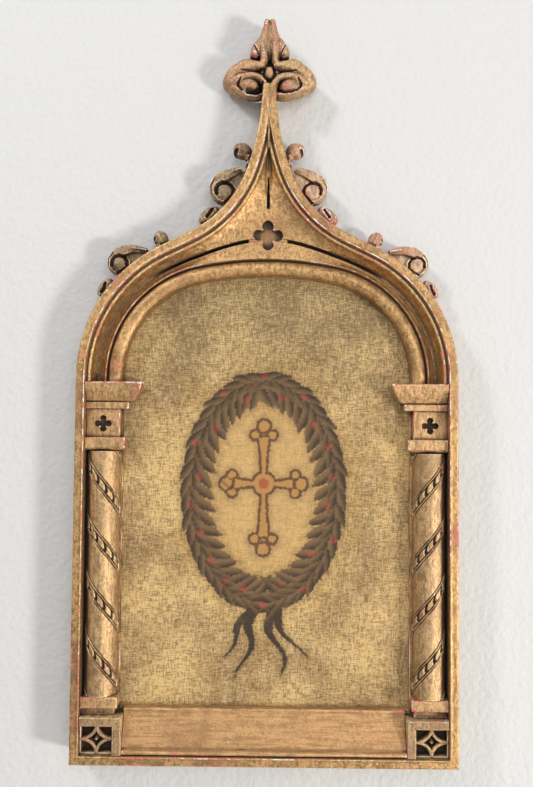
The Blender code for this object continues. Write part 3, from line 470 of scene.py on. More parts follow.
def gilding(name, leaf, shade, dirt, worn, bole, gesso, grime_and_shade, metal, rough=0.46, grain=(1.0, 1.0, 0.22)):
    """Water gilding on red bole over gesso: warm mottled leaf, rubbed thin and red on the arrises, chipped
    to white gesso in places, and brown dirt with painted shade in the hollows. worn, gesso and the amount
    of grime and shade run from 0 to 1."""
    material, shader, node = new_material(name)
    spot = node("TexCoord", "Object")
    line, soot_and_shade = (node("Attribute", "Fac", attribute_name=word) for word in ("wear_and_shade_line", "soot_and_shade"))
    broad, middling, pitted, fine, grit = (
        node("TexNoise", Vector=spot, Scale=scale, Detail=detail, Roughness=roughness)
        for scale, detail, roughness in (
            (30.0, 3.0, 0.5), (160.0, 5.0, 0.6), (150.0, 6.0, 0.7), (480.0, 5.0, 0.7), (1100.0, 3.0, 0.7)))
    along = node("Mapping", Vector=spot, Scale=grain)
    streak = node("TexNoise", Vector=along, Scale=420.0, Detail=4.0, Roughness=0.65)
    # Ambient occlusion, used below to paint shade into the hollows.
    occlusion_shade = node("AmbientOcclusion", "AO", samples=6, Distance=0.007)
    # How mottled, thin, chipped and dirty a point is: sums of the patterns, each with its weight. The last
    # sum also holds painted shade, from ambient occlusion and crevices.
    sums = []
    for total, weighted in (
            (streak, ((middling, 0.5), (fine, 0.6))),
            (streak, ((line, 0.9), (middling, 0.5), (broad, 1.1))),
            (pitted, ((line, 0.7), (broad, 0.4))),
            (soot_and_shade, ((occlusion_shade, -1.5), (line, -0.9), (middling, 0.6)))):
        for pattern, weight in weighted:
            total = node("Math", operation="MULTIPLY_ADD", i0=pattern, i1=weight, i2=total)
        sums.append(total)
    mottle, thin, chipped, sunk = sums
    # The leaf: laid in overlaps, burnished along the members, thinner and paler on what stands out.
    clouded = node("Math", operation="ADD", i0=broad, i1=streak)
    thinned = node("Math", operation="MULTIPLY_ADD", i0=mottle, i1=0.55, i2=line)
    gold = coated(
        node, colour(shade),
        (mottle, 0.90, 1.18, 1.0, leaf, "SMOOTHSTEP"), (grit, 0.55, 0.66, 0.62, dirt, "LINEAR"),
        (clouded, 1.02, 1.24, 0.55, dirt, "LINEAR"), (thinned, 0.74, 1.02, 0.62, "#e9cf96", "LINEAR"))
    # Rubbed to the red bole under it, on arrises and in stray patches.
    rubbed = node("MapRange", interpolation_type="SMOOTHSTEP", Value=thin, From_Min=1.94 - worn,
                  From_Max=2.04 - worn)
    patches = node("MapRange", Value=middling, From_Min=0.59, From_Max=0.64, To_Max=min(1.0, worn * 2.2))
    broken = node("MapRange", Value=fine, From_Min=0.48, From_Max=0.56)
    patches = node("Math", operation="MULTIPLY", i0=patches, i1=broken)
    rubbed = node("Math", operation="MAXIMUM", i0=rubbed, i1=patches)
    red = coated(node, colour(bole), (grit, 0.42, 0.60, 1.0, "#cf8f72", "LINEAR"))
    # Chipped to the white gesso, mostly on arrises, and dust, size and smoke gathered in the hollows, with
    # painted shade from ambient occlusion darkening them further.
    chips = node("MapRange", Value=chipped, From_Min=1.30 - gesso, From_Max=1.33 - gesso)
    # The dark brown here is dirt and painted shade together: ambient occlusion and the stored soot darken
    # the hollows.
    dirt_and_shade = node("MapRange", interpolation_type="SMOOTHSTEP", Value=sunk, From_Min=-0.48 - grime_and_shade,
                From_Max=0.20 - grime_and_shade, To_Max=0.94)
    paint = gold
    for share, over in ((rubbed, red), (chips, colour("#e9e0d0")), (dirt_and_shade, colour("#32241c"))):
        paint = node("Mix", 2, data_type="RGBA", i0=share, i6=paint, i7=over)
    dull = node("Math", operation="MAXIMUM", i0=rubbed, i1=dirt_and_shade)
    dull = node("Math", operation="MAXIMUM", i0=dull, i1=chips)
    bright = node("MapRange", Value=dull, To_Min=metal, To_Max=0.0)
    satin = node("MapRange", Value=middling, From_Min=0.3, From_Max=0.7, To_Min=rough - 0.08,
                 To_Max=rough + 0.10)
    satin = node("Math", operation="MULTIPLY_ADD", i0=dull, i1=0.30, i2=satin)
    relief = node("Math", operation="MULTIPLY_ADD", i0=fine, i1=0.7, i2=mottle)
    relief = node("Math", operation="MULTIPLY_ADD", i0=chips, i1=-0.25, i2=relief)
    bump = node("Bump", Height=relief, Strength=0.6, Distance=0.0007)
    for word, source in (("Base Color", paint), ("Metallic", bright), ("Roughness", satin),
                         ("Normal", bump)):
        material.node_tree.links.new(source, shader.inputs[word])
    return material


# Water gilding over red bole: a warm satin gold, brighter where it was burnished, red where it is rubbed.
worn_water_gilding = gilding(
    "worn_water_gilding", leaf="#d1a970", shade="#9c7750", dirt="#684d39", worn=0.35, bole="#b8503a",
    gesso=0.245, grime_and_shade=0.38, metal=0.78, rough=0.37, grain=(1.0, 1.0, 0.55))

bottom = web_section(lambda inward: (0.0, rail_height(inward)))
corner = web_section(lambda inward: (HALF_WIDTH - inward, rail_height(inward)))
shoulder = web_section(lambda inward: (HALF_WIDTH - inward, CAPITAL_TOP + FIT_GAP))
springing = arch_section(0.0, 0.0)
rows = between(bottom, corner, 40) + between(corner, shoulder, 96) + [shoulder]
rows += between([(x, CAPITAL_TOP + FIT_GAP, depth) for x, _, depth in springing], springing, 3)
rows += [arch_section(SHOULDER_END * step / 60, HAUNCH_MATCH * step / 60) for step in range(60)]
rows += [
    arch_section(lerp(SHOULDER_END, MEETING, step / 84), lerp(HAUNCH_MATCH, ARCH_LENGTH, step / 84))
    for step in range(85)
]
ring = [row + [row[0]] for row in rows]
stem_top = crossing_height(OUTER_LENGTH)
stem = [rows[-1][:VALLEY_COLUMN + 1]]
stem += [stem_section(lerp(PLATE_CENTRE, stem_top, step / 112)) for step in range(1, 113)]
stem = [[rows[-1][-1] if not index else (0.0, row[-1][1], 0.0)] + row for index, row in enumerate(stem)]
body = merged(mesh_of("gable_frame_carved", draped_grid(ring), draped_grid(stem)), mirror=True)
bm = bmesh.new()
bm.from_mesh(body)
body = hand_carved(mesh_of("gable_frame_carved", closed(bm)), 0.00016, 0.016, 1)


def modified(mesh, kind, **settings):
    """The mesh that a modifier makes of another, worked out once."""
    holder = bpy.data.objects.new("holder", mesh)
    bpy.context.scene.collection.objects.link(holder)
    modifier = holder.modifiers.new("once", kind)
    for word, value in settings.items():
        setattr(modifier, word, value)
    result = bpy.data.meshes.new_from_object(holder.evaluated_get(bpy.context.evaluated_depsgraph_get()))
    bpy.data.objects.remove(holder, do_unlink=True)
    return result


def cut_with(mesh, punch):
    """The mesh after a cut with another."""
    tool = bpy.data.objects.new("tool", punch)
    bpy.context.scene.collection.objects.link(tool)
    result = modified(mesh, "BOOLEAN", operation="DIFFERENCE", solver="EXACT", object=tool)
    bpy.data.objects.remove(tool, do_unlink=True)
    return result


def slab(points, back, front):
    """A flat block cut to an outline of (x, height above the underside), and the points of its front."""
    bm = bmesh.new()
    face = bm.faces.new([bm.verts.new((x, -back, z - MOUNT_HEIGHT)) for x, z in points])
    grown = bmesh.ops.extrude_face_region(bm, geom=[face])["geom"]
    raised = [part for part in grown if isinstance(part, bmesh.types.BMVert)]
    bmesh.ops.translate(bm, vec=(0, back - front, 0), verts=raised)
    return bm, raised


def foil_cutter(centre, reach, lobe, back, front, ragged):
    """A four-lobed punch. centre is (x, height above the underside)."""
    outline = []
    for quarter in range(4):
        facing = math.pi / 2 * quarter
        for step in range(15):
            angle = facing + math.radians(lerp(-126, 126, step / 14))
            size = lobe * (1 + ragged * noise.noise(Vector((quarter * 3.7, step * 0.6, reach * 900))))
            x = centre[0] + reach * math.cos(facing) + size * math.cos(angle)
            outline.append((x, centre[1] + reach * math.sin(facing) + size * math.sin(angle)))
    bm, _ = slab(outline, back, front)
    bmesh.ops.recalc_face_normals(bm, faces=bm.faces)
    return mesh_of("punch", bm)


FOIL_REACH, FOIL_LOBE, FOIL_FLOOR = 0.0076, 0.0046, PLATE_DEPTH - 0.0045
PAST_THE_FRONT = 0.04
punch = foil_cutter((0.0, MOUNT_HEIGHT), FOIL_REACH, FOIL_LOBE, FOIL_FLOOR, PAST_THE_FRONT, 0.16)
body = merged(cut_with(body, punch))
into_box(body, (-HALF_WIDTH, -THICKNESS, -MOUNT_HEIGHT), (HALF_WIDTH, 0.0, 1.0))
show_wear_and_shade_lines(body)
x, y, z = places_of(body).T
# The sunk quatrefoil is darkened with dirt and painted shade in its hollow.
foil_shade_mask = (np.hypot(x, z) < FOIL_REACH + FOIL_LOBE + 0.0006) & (y > 0.0022 - PLATE_DEPTH) & (y < -0.009)
store_soot_and_shade(body, foil_shade_mask * 0.48)
finished("gable_frame_carved", body, worn_water_gilding, "gable_frame")

# The leaf finial
# Carved in the solid at the head of the stem: a fleur with a two-ridged tip, two side leaves, two scroll
# balls under them and an oval boss in a sunk star, gilt and much rubbed.

FINIAL_CENTRE = 0.5525


def lump(centre, radii, turn, depth):
    """A rounded mass of the finial in millimetres: centre (across, above the boss), radii (long, short,
    deep), turn in degrees from level, and depth of its middle from the wall."""
    bm = bmesh.new()
    bmesh.ops.create_uvsphere(bm, u_segments=32, v_segments=20, radius=1.0)
    shape = Matrix.Diagonal((radii[0] / 1000, radii[2] / 1000, radii[1] / 1000, 1.0))
    height = centre[1] / 1000 + FINIAL_CENTRE - MOUNT_HEIGHT
    place = Matrix.Translation((centre[0] / 1000, -depth / 1000, height))
    place = place @ Matrix.Rotation(math.radians(-turn), 4, "Y") @ shape
    bmesh.ops.transform(bm, matrix=place, verts=bm.verts)
    return bm


def ridge(points):
    """A carved ridge along (across, up, depth, half width, half height) points in millimetres."""
    bm = bmesh.new()
    rings = []
    for index, (across, up, depth, wide, high) in enumerate(points):
        before, after = points[max(index - 1, 0)], points[min(index + 1, len(points) - 1)]
        along = Vector((after[0] - before[0], 0, after[1] - before[1])).normalized()
        side = Vector((along.z, 0, -along.x))
        made = bmesh.ops.create_circle(bm, segments=14, radius=1.0, cap_ends=index in (0, len(points) - 1))
        made = made["verts"]
        centre = Vector((across, -depth, up + (FINIAL_CENTRE - MOUNT_HEIGHT) * 1000))
        for vert in made:
            vert.co = (centre + side * (vert.co.x * wide) + Vector((0, -1, 0)) * (vert.co.y * high)) / 1000
        rings.append([edge for edge in bm.edges if edge.verts[0] in made and edge.verts[1] in made])
    for one, other in zip(rings, rings[1:]):
        bmesh.ops.bridge_loops(bm, edges=[e for e in one + other if e.is_valid])
    bmesh.ops.recalc_face_normals(bm, faces=bm.faces)
    return bm


def curve_through(points, steps=5):
    """A smooth run of points through a few given ones."""
    points = [np.array(point, dtype=float) for point in points]
    run = []
    for i in range(len(points) - 1):
        p0, p1, p2 = points[max(i - 1, 0)], points[i], points[i + 1]
        p3 = points[min(i + 2, len(points) - 1)]
        for step in range(steps):
            t = step / steps
            run.append(0.5 * (2 * p1 + (p2 - p0) * t + (2 * p0 - 5 * p1 + 4 * p2 - p3) * t**2
                              + (3 * p1 - p0 - 3 * p2 + p3) * t**3))
    return [tuple(point) for point in run + [points[-1]]]


def mirrored_ridge(points, side):
    return ridge(curve_through([(side * across, *rest) for across, *rest in points]))


def carved_from(name, shapes, grain, rounds):
    """Joins rounded masses into one carved skin with a voxel remesh, then eases it."""
    skin = modified(mesh_of(name, *shapes), "REMESH", mode="VOXEL", voxel_size=grain, adaptivity=0.0)
    bm = bmesh.new()
    bm.from_mesh(skin)
    for _ in range(rounds):
        bmesh.ops.smooth_vert(
            bm, verts=bm.verts, factor=0.5, use_axis_x=True, use_axis_y=True, use_axis_z=True)
    bmesh.ops.recalc_face_normals(bm, faces=bm.faces)
    return mesh_of(name, bm)


def gouged(mesh, cuts, to_place):
    """Presses gouge cuts into the front of a mesh and stores painted shade in them, deeper cuts darker. A
    cut is (points, half width, depth) in millimetres, and to_place turns its points into (x, z) in metres."""
    count = len(mesh.vertices)
    place, facing = places_of(mesh), normals_of(mesh)
    front = np.clip(-facing[:, 1] * 1.6 + 0.3, 0.0, 1.0)
    flat = place[:, [0, 2]]
    sunk = np.zeros(count)
    for points, wide, deep in cuts:
        line = np.array([to_place(point) for point in points])
        nearest = np.full(count, 1e9)
        for start, end in zip(line, line[1:]):
            run = end - start
            share = np.clip(((flat - start) @ run) / max(run @ run, 1e-12), 0, 1)
            nearest = np.minimum(nearest, np.linalg.norm(flat - start - share[:, None] * run, axis=1))
        inside = np.clip(1 - nearest / (wide / 1000), 0, 1)
        cut = inside * inside * (3 - 2 * inside) * deep / 1000
        sunk = np.where(np.abs(cut) > np.abs(sunk), cut, sunk)
    place[:, 1] += sunk * front
    # Painted shade in the cuts: the deeper a point is pressed in, the darker it is stored.
    store_soot_and_shade(mesh, np.clip(sunk * front / 0.0026, 0, 1) * 0.85)
    return set_places(mesh, place)


def leaf_plate(outline, back, front, bevel):
    """A flat leaf cut to an outline of (across, up) points in millimetres, with its front edge eased."""
    bm, raised = slab([(x / 1000, z / 1000 + FINIAL_CENTRE) for x, z in outline], back / 1000, front / 1000)
    rim = [e for e in bm.edges if e.verts[0] in raised and e.verts[1] in raised]
    bmesh.ops.bevel(bm, geom=rim, offset=bevel / 1000, segments=3, profile=0.5, affect="EDGES", material=-1)
    bmesh.ops.recalc_face_normals(bm, faces=bm.faces)
    return bm


shapes = []
half_outline = [
    (0.0, 46.4), (1.8, 47.3), (4.0, 47.2), (5.0, 45.4), (5.4, 41.0), (6.4, 36.0), (8.6, 31.4), (12.4, 24.8),
    (15.4, 19.4), (15.3, 17.3), (17.0, 16.6), (21.0, 15.2), (26.4, 12.0), (32.0, 8.2), (37.0, 3.4),
    (39.3, -0.8), (38.0, -4.6), (34.6, -6.6), (30.0, -8.0), (24.6, -9.4), (21.0, -12.0), (16.6, -13.6),
    (11.0, -14.0), (6.4, -13.2), (5.2, -18.0), (5.0, -30.0), (0.0, -30.0),
]
outline = half_outline + [(-x, z) for x, z in reversed(half_outline[1:-1])]
shapes.append(leaf_plate(outline, 3.2, 12.5, 2.6))
for side in (-1, 1):
    tip = [(2.1, 46.4, 18.5, 2.3, 5.2), (2.6, 42, 19.5, 2.7, 5.4), (3.3, 36, 19.8, 3.6, 5.8),
           (4.3, 29, 19.6, 4.6, 6.2), (5.0, 22.5, 19.2, 4.4, 6.6), (4.6, 17.0, 18.8, 3.3, 6.4),
           (4.8, 12.4, 18.4, 3.0, 6.2), (6.8, 9.4, 17.8, 3.0, 6.0)]
    upper = [(3.8, 8.4, 17.2, 2.4, 5.6), (8.6, 8.8, 17.6, 3.4, 6.4), (15.5, 8.9, 17.2, 4.8, 6.4),
             (22.0, 7.4, 16.4, 5.6, 6.4), (28.6, 4.6, 15.4, 5.6, 6.2), (33.6, 1.0, 13.8, 4.4, 5.4),
             (37.0, -1.2, 12.0, 2.4, 4.2)]
    lower = [(2.7, -30, 20.5, 2.7, 7), (2.8, -22, 20.5, 2.8, 7), (3.0, -13, 20.5, 2.8, 6.8),
             (4.2, -7.0, 20.0, 2.7, 6.4), (7.2, -2.8, 19.4, 2.8, 6.2), (12.6, -0.6, 18.8, 3.0, 6.0),
             (19.5, -0.6, 17.8, 3.6, 6.0), (26.0, -2.2, 16.4, 4.2, 5.8), (31.6, -5.0, 14.2, 3.6, 5.0)]
    shapes += [mirrored_ridge(table, side) for table in (tip, upper, lower)]
    for across, up, radii, turn, depth in (
            (9.4, 23.6, (10.6, 5.4, 8.4), -64, 16.4), (12.0, 19.0, (4.4, 4.2, 8.2), 0, 16.2),
            (20.6, 9.8, (10.0, 5.2, 8.4), -25, 15.0), (29.4, 0.2, (9.6, 8.2, 8.4), -32, 11.6),
            (34.0, -2.0, (5.2, 4.8, 6.4), -50, 10.8), (27.0, -6.4, (9.4, 6.0, 8.0), 32, 11.0),
            (12.5, -9.8, (9.5, 4.8, 7.4), -4, 10.6), (20.5, -9.4, (7.5, 4.6, 7.8), 20, 10.6),
            (16.4, -8.6, (8.4, 5.8, 8.4), 8, 17.4)):
        shapes.append(lump((side * across, up), radii, side * turn, depth))
    under = [(4.4, -13.6, 15, 1.6, 4.6), (10, -14.6, 15.4, 2.2, 5), (17, -14.2, 15.8, 2.4, 5.4),
             (24, -10.8, 15.4, 2.6, 5.4), (31, -7.2, 13.8, 2.4, 5)]
    shapes.append(mirrored_ridge(under, side))
shapes.append(lump((0.0, 1.0), (11.0, 10.0, 8.6), 0, 11.6))
shapes.append(lump((0.0, 32.0), (17.5, 4.6, 9.2), 90, 15.6))
shapes.append(lump((0.0, 1.0), (3.3, 4.9, 4.6), 0, 22.2))
finial = carved_from("gable_finial", shapes, 0.00048, 2)


def by_boss(point):
    return point[0] / 1000, point[1] / 1000 + FINIAL_CENTRE - MOUNT_HEIGHT


cuts = [
    ([(0.4, 48), (0.4, 45.4)], 0.9, 1.4),
    ([(0.1, 30), (0.2, 20)], 0.8, 0.5),
    ([(0.3, 15), (0.2, 8)], 1.3, 1.4),
    ([(0, -30), (0, -12), (0.2, -6)], 0.8, 1.2),
    ([(-23, 4.6), (-16, 4.4), (-8, 3.4), (-4, 2.6)], 0.9, 1.8),
    ([(22, 4.4), (16, 4.2), (8, 3.2), (4, 2.6)], 0.9, 1.8),
    ([(0, 9.0), (-3.4, 6.4), (-5.2, 2.4), (-3.8, -3.2), (0, -6.8), (3.8, -3.2), (5.2, 2.4), (3.4, 6.4),
      (0, 9.0)], 1.6, 3.4),
    ([(0.3, -5.0), (0.4, -8.5)], 1.5, 2.6),
]
for side in (-1, 1):
    for points, wide, deep in (
            ([(13.6, 26.0), (11.4, 21.6), (9.4, 17.6)], 0.9, 1.6),
            ([(16.8, 15.8), (13.4, 13.8), (10.0, 13.4), (8.8, 15.0)], 1.7, 5.8),
            ([(23.6, -2.6), (25.8, -5.4), (25.4, -8.6), (22.6, -11.6)], 1.5, 2.2)):
        cuts.append(([(side * across, up) for across, up in points], wide, deep))
cuts.append(([(-6.0, -8.4), (-7.4, -11.6), (-11.5, -13.6), (-17.6, -13.0)], 2.8, 7.0))
cuts.append(([(6.4, -8.0), (7.8, -11.4), (12.0, -13.4), (18.0, -13.2), (22.4, -11.4)], 1.3, 2.8))
gouged(finial, cuts, by_boss)
hand_carved(finial, 0.00042, 0.0055, 2, 0.45)
into_box(finial, (-0.05, -THICKNESS, -0.2), (0.05, -0.0030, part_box("gable_frame")[1][2]))
show_wear_and_shade_lines(finial)
# The same gilding where hands and dusters have rubbed it most: dull, pinkish and chipped.
rubbed_gilding = gilding(
    "rubbed_gilding", leaf="#cfaa7b", shade="#9a7a5f", dirt="#634a3d", worn=0.40, bole="#ae6757",
    gesso=0.245, grime_and_shade=0.46, metal=0.55, rough=0.50)
finished("gable_finial", finial, rubbed_gilding, "gable_frame", 80)

# The painted panel
# A thin board faced with coarse linen, sized and painted in thin ochre and umber, held in the rebate.
# The weave shows through the paint; the device is a flowered cross in a leaf wreath with ribbon ends.

PANEL_FRONT, PANEL_THICKNESS = 0.0100, 0.0040
PANEL_OFFSET = REBATE_WIDTH - FIT_GAP
DEVICE = (-0.002, -0.208)


def turned_by(x, z, centre, turn):
    """Places along and across a line through a centre, turned by an angle in degrees."""
    c, s = math.cos(math.radians(turn)), math.sin(math.radians(turn))
    return (x - centre[0]) * c + (z - centre[1]) * s, (z - centre[1]) * c - (x - centre[0]) * s


def oval(x, z, radii):
    """Signed distance, roughly in metres, to an ellipse round the device's centre."""
    return (np.sqrt((x / radii[0]) ** 2 + (z / radii[1]) ** 2) - 1) * min(radii)


def leaf_shape(along, across, length, width):
    """Signed distance to a pointed leaf, the overlap of two discs."""
    radius = (length**2 + width**2) / (2 * width)
    shift = radius - width
    return np.maximum(np.hypot(along, across - shift), np.hypot(along, across + shift)) - radius


PANEL_HALF_WIDTH = SIGHT_HALF_WIDTH + PANEL_OFFSET
PANEL_COLUMNS, PANEL_ROWS = 170, 300
panel = bmesh.new()
bmesh.ops.create_grid(panel, x_segments=PANEL_COLUMNS, y_segments=PANEL_ROWS, size=1.0)
foot = SIGHT_BOTTOM - PANEL_OFFSET
crown = [(PANEL_HALF_WIDTH, foot), (PANEL_HALF_WIDTH, SPRINGING)]
crown += [arch_point(ARCH_LENGTH * step / 80, PANEL_OFFSET) for step in range(1, 81)]
crown_x, crown_z = zip(*reversed(crown))
for vert in panel.verts:
    across = vert.co.x * PANEL_HALF_WIDTH
    top = float(np.interp(abs(across), crown_x, crown_z)) if abs(across) < crown_x[-3] else SPRINGING
    vert.co = (across, -PANEL_FRONT, lerp(foot, max(top, SPRINGING), (vert.co.y + 1) / 2) - MOUNT_HEIGHT)
bmesh.ops.recalc_face_normals(panel, faces=panel.faces)
rim = [edge for edge in panel.edges if edge.is_boundary]
grown = bmesh.ops.extrude_edge_only(panel, edges=rim)
back_verts = [v for v in grown["geom"] if isinstance(v, bmesh.types.BMVert)]
bmesh.ops.translate(panel, vec=(0, PANEL_THICKNESS, 0), verts=back_verts)
panel = mesh_of("picture_panel_painted", closed(panel))

px, _, pz = places_of(panel).T
dx, dz = px - DEVICE[0], pz - DEVICE[1]
wreath = np.full(len(px), 1.0)
leaf_tone = np.full(len(px), 0.35)
LEAVES_IN_A_ROW = 44
for row, (rx, rz, lean, length, width) in enumerate((
        (0.050, 0.078, 52, 0.0125, 0.0042), (0.056, 0.086, 18, 0.0130, 0.0045),
        (0.063, 0.093, -20, 0.0120, 0.0040))):
    for index in range(LEAVES_IN_A_ROW):
        angle = 2 * math.pi * (index + 0.33 * row) / LEAVES_IN_A_ROW
        side = 1 if math.cos(angle) > 0 else -1
        centre = (rx * math.cos(angle), rz * math.sin(angle))
        along = math.degrees(math.atan2(rz * math.cos(angle), -rx * math.sin(angle)))
        along = along if side > 0 else along + 180
        turn = along - side * (lean + 9 * math.sin(index * 2.3 + row))
        down_rib, off_rib = turned_by(dx, dz, centre, turn)
        near = leaf_shape(down_rib, off_rib, length, width)
        leaf_tone = np.where(near < wreath, np.clip(0.5 + off_rib / width * side, 0, 1), leaf_tone)
        wreath = np.minimum(wreath, near)
wreath = np.minimum(wreath, np.abs(oval(dx, dz, (0.056, 0.0855))) - 0.0012)
for side in (-1, 1):
    for reach, spread, start in ((0.062, 0.014, 0.004), (0.046, 0.030, 0.003), (0.030, 0.006, 0.002)):
        below = -dz - 0.088
        centre_line = side * (start + spread * (below / reach) + 0.004 * np.sin(below * 150 + side))
        taper = 0.0042 * np.clip(1.15 - below / reach, 0.15, 1)
        ribbon = np.maximum(np.abs(dx - centre_line) - taper, np.maximum(-below, below - reach))
        wreath = np.minimum(wreath, ribbon)
cross = np.full(len(px), 1.0)
CROSSING = (0.0, 0.006)
for turn, reach in ((0, 0.030), (90, 0.046), (180, 0.030), (270, 0.052)):
    u, v = turned_by(dx, dz, CROSSING, turn)
    flare = 0.0034 + 0.0042 * np.clip(u / reach, 0, 1) ** 2.2
    cross = np.minimum(cross, np.maximum(np.abs(v) - flare, np.maximum(-u, u - reach * 0.86)))
    for away, sideways, size in ((1.02, 0.0, 0.0066), (0.86, 0.0072, 0.0052), (0.86, -0.0072, 0.0052)):
        cross = np.minimum(cross, np.hypot(u - reach * away, v - sideways) - size)
from_crossing = np.hypot(dx, dz - CROSSING[1])
cross = np.minimum(cross, from_crossing - 0.0105)
berries = from_crossing - 0.0042
BERRIES = 22
for index in range(BERRIES):
    angle = 2 * math.pi * (index + 0.5) / BERRIES
    radius = 1 + 0.10 * math.sin(index * 2.9)
    away = np.hypot(dx - 0.057 * radius * math.cos(angle), dz - 0.086 * radius * math.sin(angle))
    berries = np.minimum(berries, away - 0.0026)
for word, values in (("wreath", wreath * 1000), ("cross", cross * 1000), ("cross_face", cross * 1000 + 2.2),
                     ("berries", berries * 1000), ("leaf_tone", leaf_tone),
                     ("halo", oval(dx, dz, (0.050, 0.078)) * 1000)):
    layer = panel.attributes.new(word, "FLOAT", "POINT")
    layer.data.foreach_set("value", np.clip(values, -50, 200).astype(np.float32))

# Sized linen in thin oil paint: matt, with a coarse weave of about two threads a millimetre, drawn a little
# coarser here so that it shows, and brown stains gathered towards the edges.
painted_linen, shader, node = new_material("painted_linen")
spot = node("TexCoord", "Object")
slubs = threads = 0.0
for stretch, bands in (((0.26, 1.0, 1.5), "Z"), ((1.5, 1.0, 0.26), "X")):
    laid = node("Mapping", Vector=spot, Scale=stretch)
    slub = node("TexNoise", Vector=laid, Scale=950.0, Detail=3.0, Roughness=0.65)
    slubs = node("Math", operation="ADD", i0=slub, i1=slubs)
    thread = node("TexWave", "Fac", bands_direction=bands, Vector=spot, Scale=330.0, Distortion=1.2,
                  Detail=2.0)
    threads = node("Math", operation="ADD", i0=thread, i1=threads)
clouds = node("TexNoise", Vector=spot, Scale=18.0, Detail=4.0)
blotch = node("TexNoise", Vector=spot, Scale=70.0, Detail=5.0, Roughness=0.65)
stroke = node("TexNoise", Vector=spot, Scale=430.0, Detail=4.0, Roughness=0.7)
height_up = node("SeparateXYZ", "Z", Vector=spot)
halo, leaf_tone = (node("Attribute", "Fac", attribute_name=word) for word in ("halo", "leaf_tone"))
wide = node("Math", operation="MULTIPLY_ADD", i0=clouds, i1=60.0, i2=halo)
crown_dirt = node("MapRange", interpolation_type="SMOOTHSTEP", Value=height_up, From_Min=-0.19,
                  From_Max=-0.05)
aged = node("Math", operation="MULTIPLY_ADD", i0=crown_dirt, i1=0.05, i2=slubs)
aged = node("Math", operation="MULTIPLY_ADD", i0=blotch, i1=0.25, i2=aged)
loose = node("Math", operation="MULTIPLY_ADD", i0=blotch, i1=9.0, i2=halo)
# Clouded ochre, golden round the device, olive and dirtier towards the crown, and paler inside the wreath.
paint = coated(
    node, colour("#9d7c4c"),
    (clouds, 0.40, 0.60, 1.0, "#d3ae70", "LINEAR"), (blotch, 0.48, 0.68, 0.55, "#dcbb84", "LINEAR"),
    (wide, 68.0, 22.0, 0.66, "#d6ab5e", "SMOOTHSTEP"), (crown_dirt, 0.0, 1.0, 0.42, "#93815a", "LINEAR"),
    (aged, 1.12, 1.26, 0.66, "#594630", "LINEAR"), (aged, 1.07, 0.95, 0.34, "#ecd3a0", "LINEAR"),
    (loose, 6.5, -12.0, 0.60, "#c79f68", "SMOOTHSTEP"))
# The device: leaves dark on one side of the midrib, and the cross outlined in umber, with a stain round.
lit = node("Math", operation="MULTIPLY_ADD", i0=blotch, i1=0.9, i2=leaf_tone)
lit = node("Math", operation="MULTIPLY_ADD", i0=stroke, i1=0.6, i2=lit)
for word, deep, pale, stain, share, low, high in (
        ("wreath", "#2a1c14", "#745838", 0.34, 0.94, 0.75, 1.75),
        ("cross", "#3a2517", "#5b3a22", 0.34, 0.94, 0.75, 1.75),
        ("cross_face", "#6b4424", "#c08e4e", 0.0, 0.80, 0.55, 1.35),
        ("berries", "#5e241d", "#a24a36", 0.0, 0.85, 0.6, 1.5)):
    shape = node("Attribute", "Fac", attribute_name=word)
    ragged = node("Math", operation="MULTIPLY_ADD", i0=stroke, i1=5.0, i2=shape)
    tone = coated(node, colour(deep), (lit, low, high, 1.0, pale, "LINEAR"))
    paint = coated(node, paint, (ragged, 9.0, 1.5, stain, "#6a4c2c", "SMOOTHSTEP"),
                   (ragged, 3.1, 2.1, share, tone, "LINEAR"))
paint = coated(node, paint, (threads, 1.5, 0.6, 0.10, "#2f2618", "LINEAR"))
relief = node("Math", operation="MULTIPLY_ADD", i0=slubs, i1=2.0, i2=threads)
bump = node("Bump", Height=relief, Strength=0.5, Distance=0.0003)
for word, source in (("Base Color", paint), ("Normal", bump)):
    painted_linen.node_tree.links.new(source, shader.inputs[word])
shader.inputs["Roughness"].default_value = 0.78
finished("picture_panel_painted", panel, painted_linen, "picture_panel", 30)

# The sill
# One length of softwood planed to a nosed, backward-sloping face, glued over the bottom of the frame
# between the corner blocks and lapped over the lower edge of the picture; gilt, weathered and knocked.

BLOCK_INNER = HALF_WIDTH - FILLET_WIDTH - 0.0329
SILL_FOOT = FILLET_WIDTH + FIT_GAP
SILL_TOP = SIGHT_BOTTOM + 0.0030
SILL_BACK = WEB_DEPTH + FIT_GAP
SILL_END = BLOCK_INNER - FIT_GAP
sill_profile = [
    (SILL_BACK, SILL_FOOT), (0.0200, SILL_FOOT), (0.0252, SILL_FOOT), (0.0262, SILL_FOOT + 0.0006),
    (0.0264, SILL_FOOT + 0.0016), (0.0261, SILL_FOOT + 0.0026), (0.0254, SILL_FOOT + 0.0034),
    (0.0240, SILL_FOOT + 0.0037), (0.0235, SILL_FOOT + 0.0043), (0.0238, SILL_FOOT + 0.0052),
]
sill_profile += [
    (lerp(0.0240, 0.0168, step / 14), lerp(SILL_FOOT + 0.0058, SILL_TOP - 0.0026, step / 14))
    for step in range(15)
]
sill_profile += [
    (0.0172, SILL_TOP - 0.0018), (0.0171, SILL_TOP - 0.0008), (0.0163, SILL_TOP), (0.0145, SILL_TOP),
    (0.0106, SILL_TOP), (0.0106, SIGHT_BOTTOM + FIT_GAP), (SILL_BACK, SIGHT_BOTTOM + FIT_GAP),
    (SILL_BACK, SILL_FOOT),
]
sill = draped_grid([[(lerp(-SILL_END, SILL_END, step / 150), z, depth) for depth, z in sill_profile]
                    for step in range(151)])
sill = hand_carved(mesh_of("sill_rail_weathered", closed(sill, 1e-5)), 0.00020, 0.020, 3)
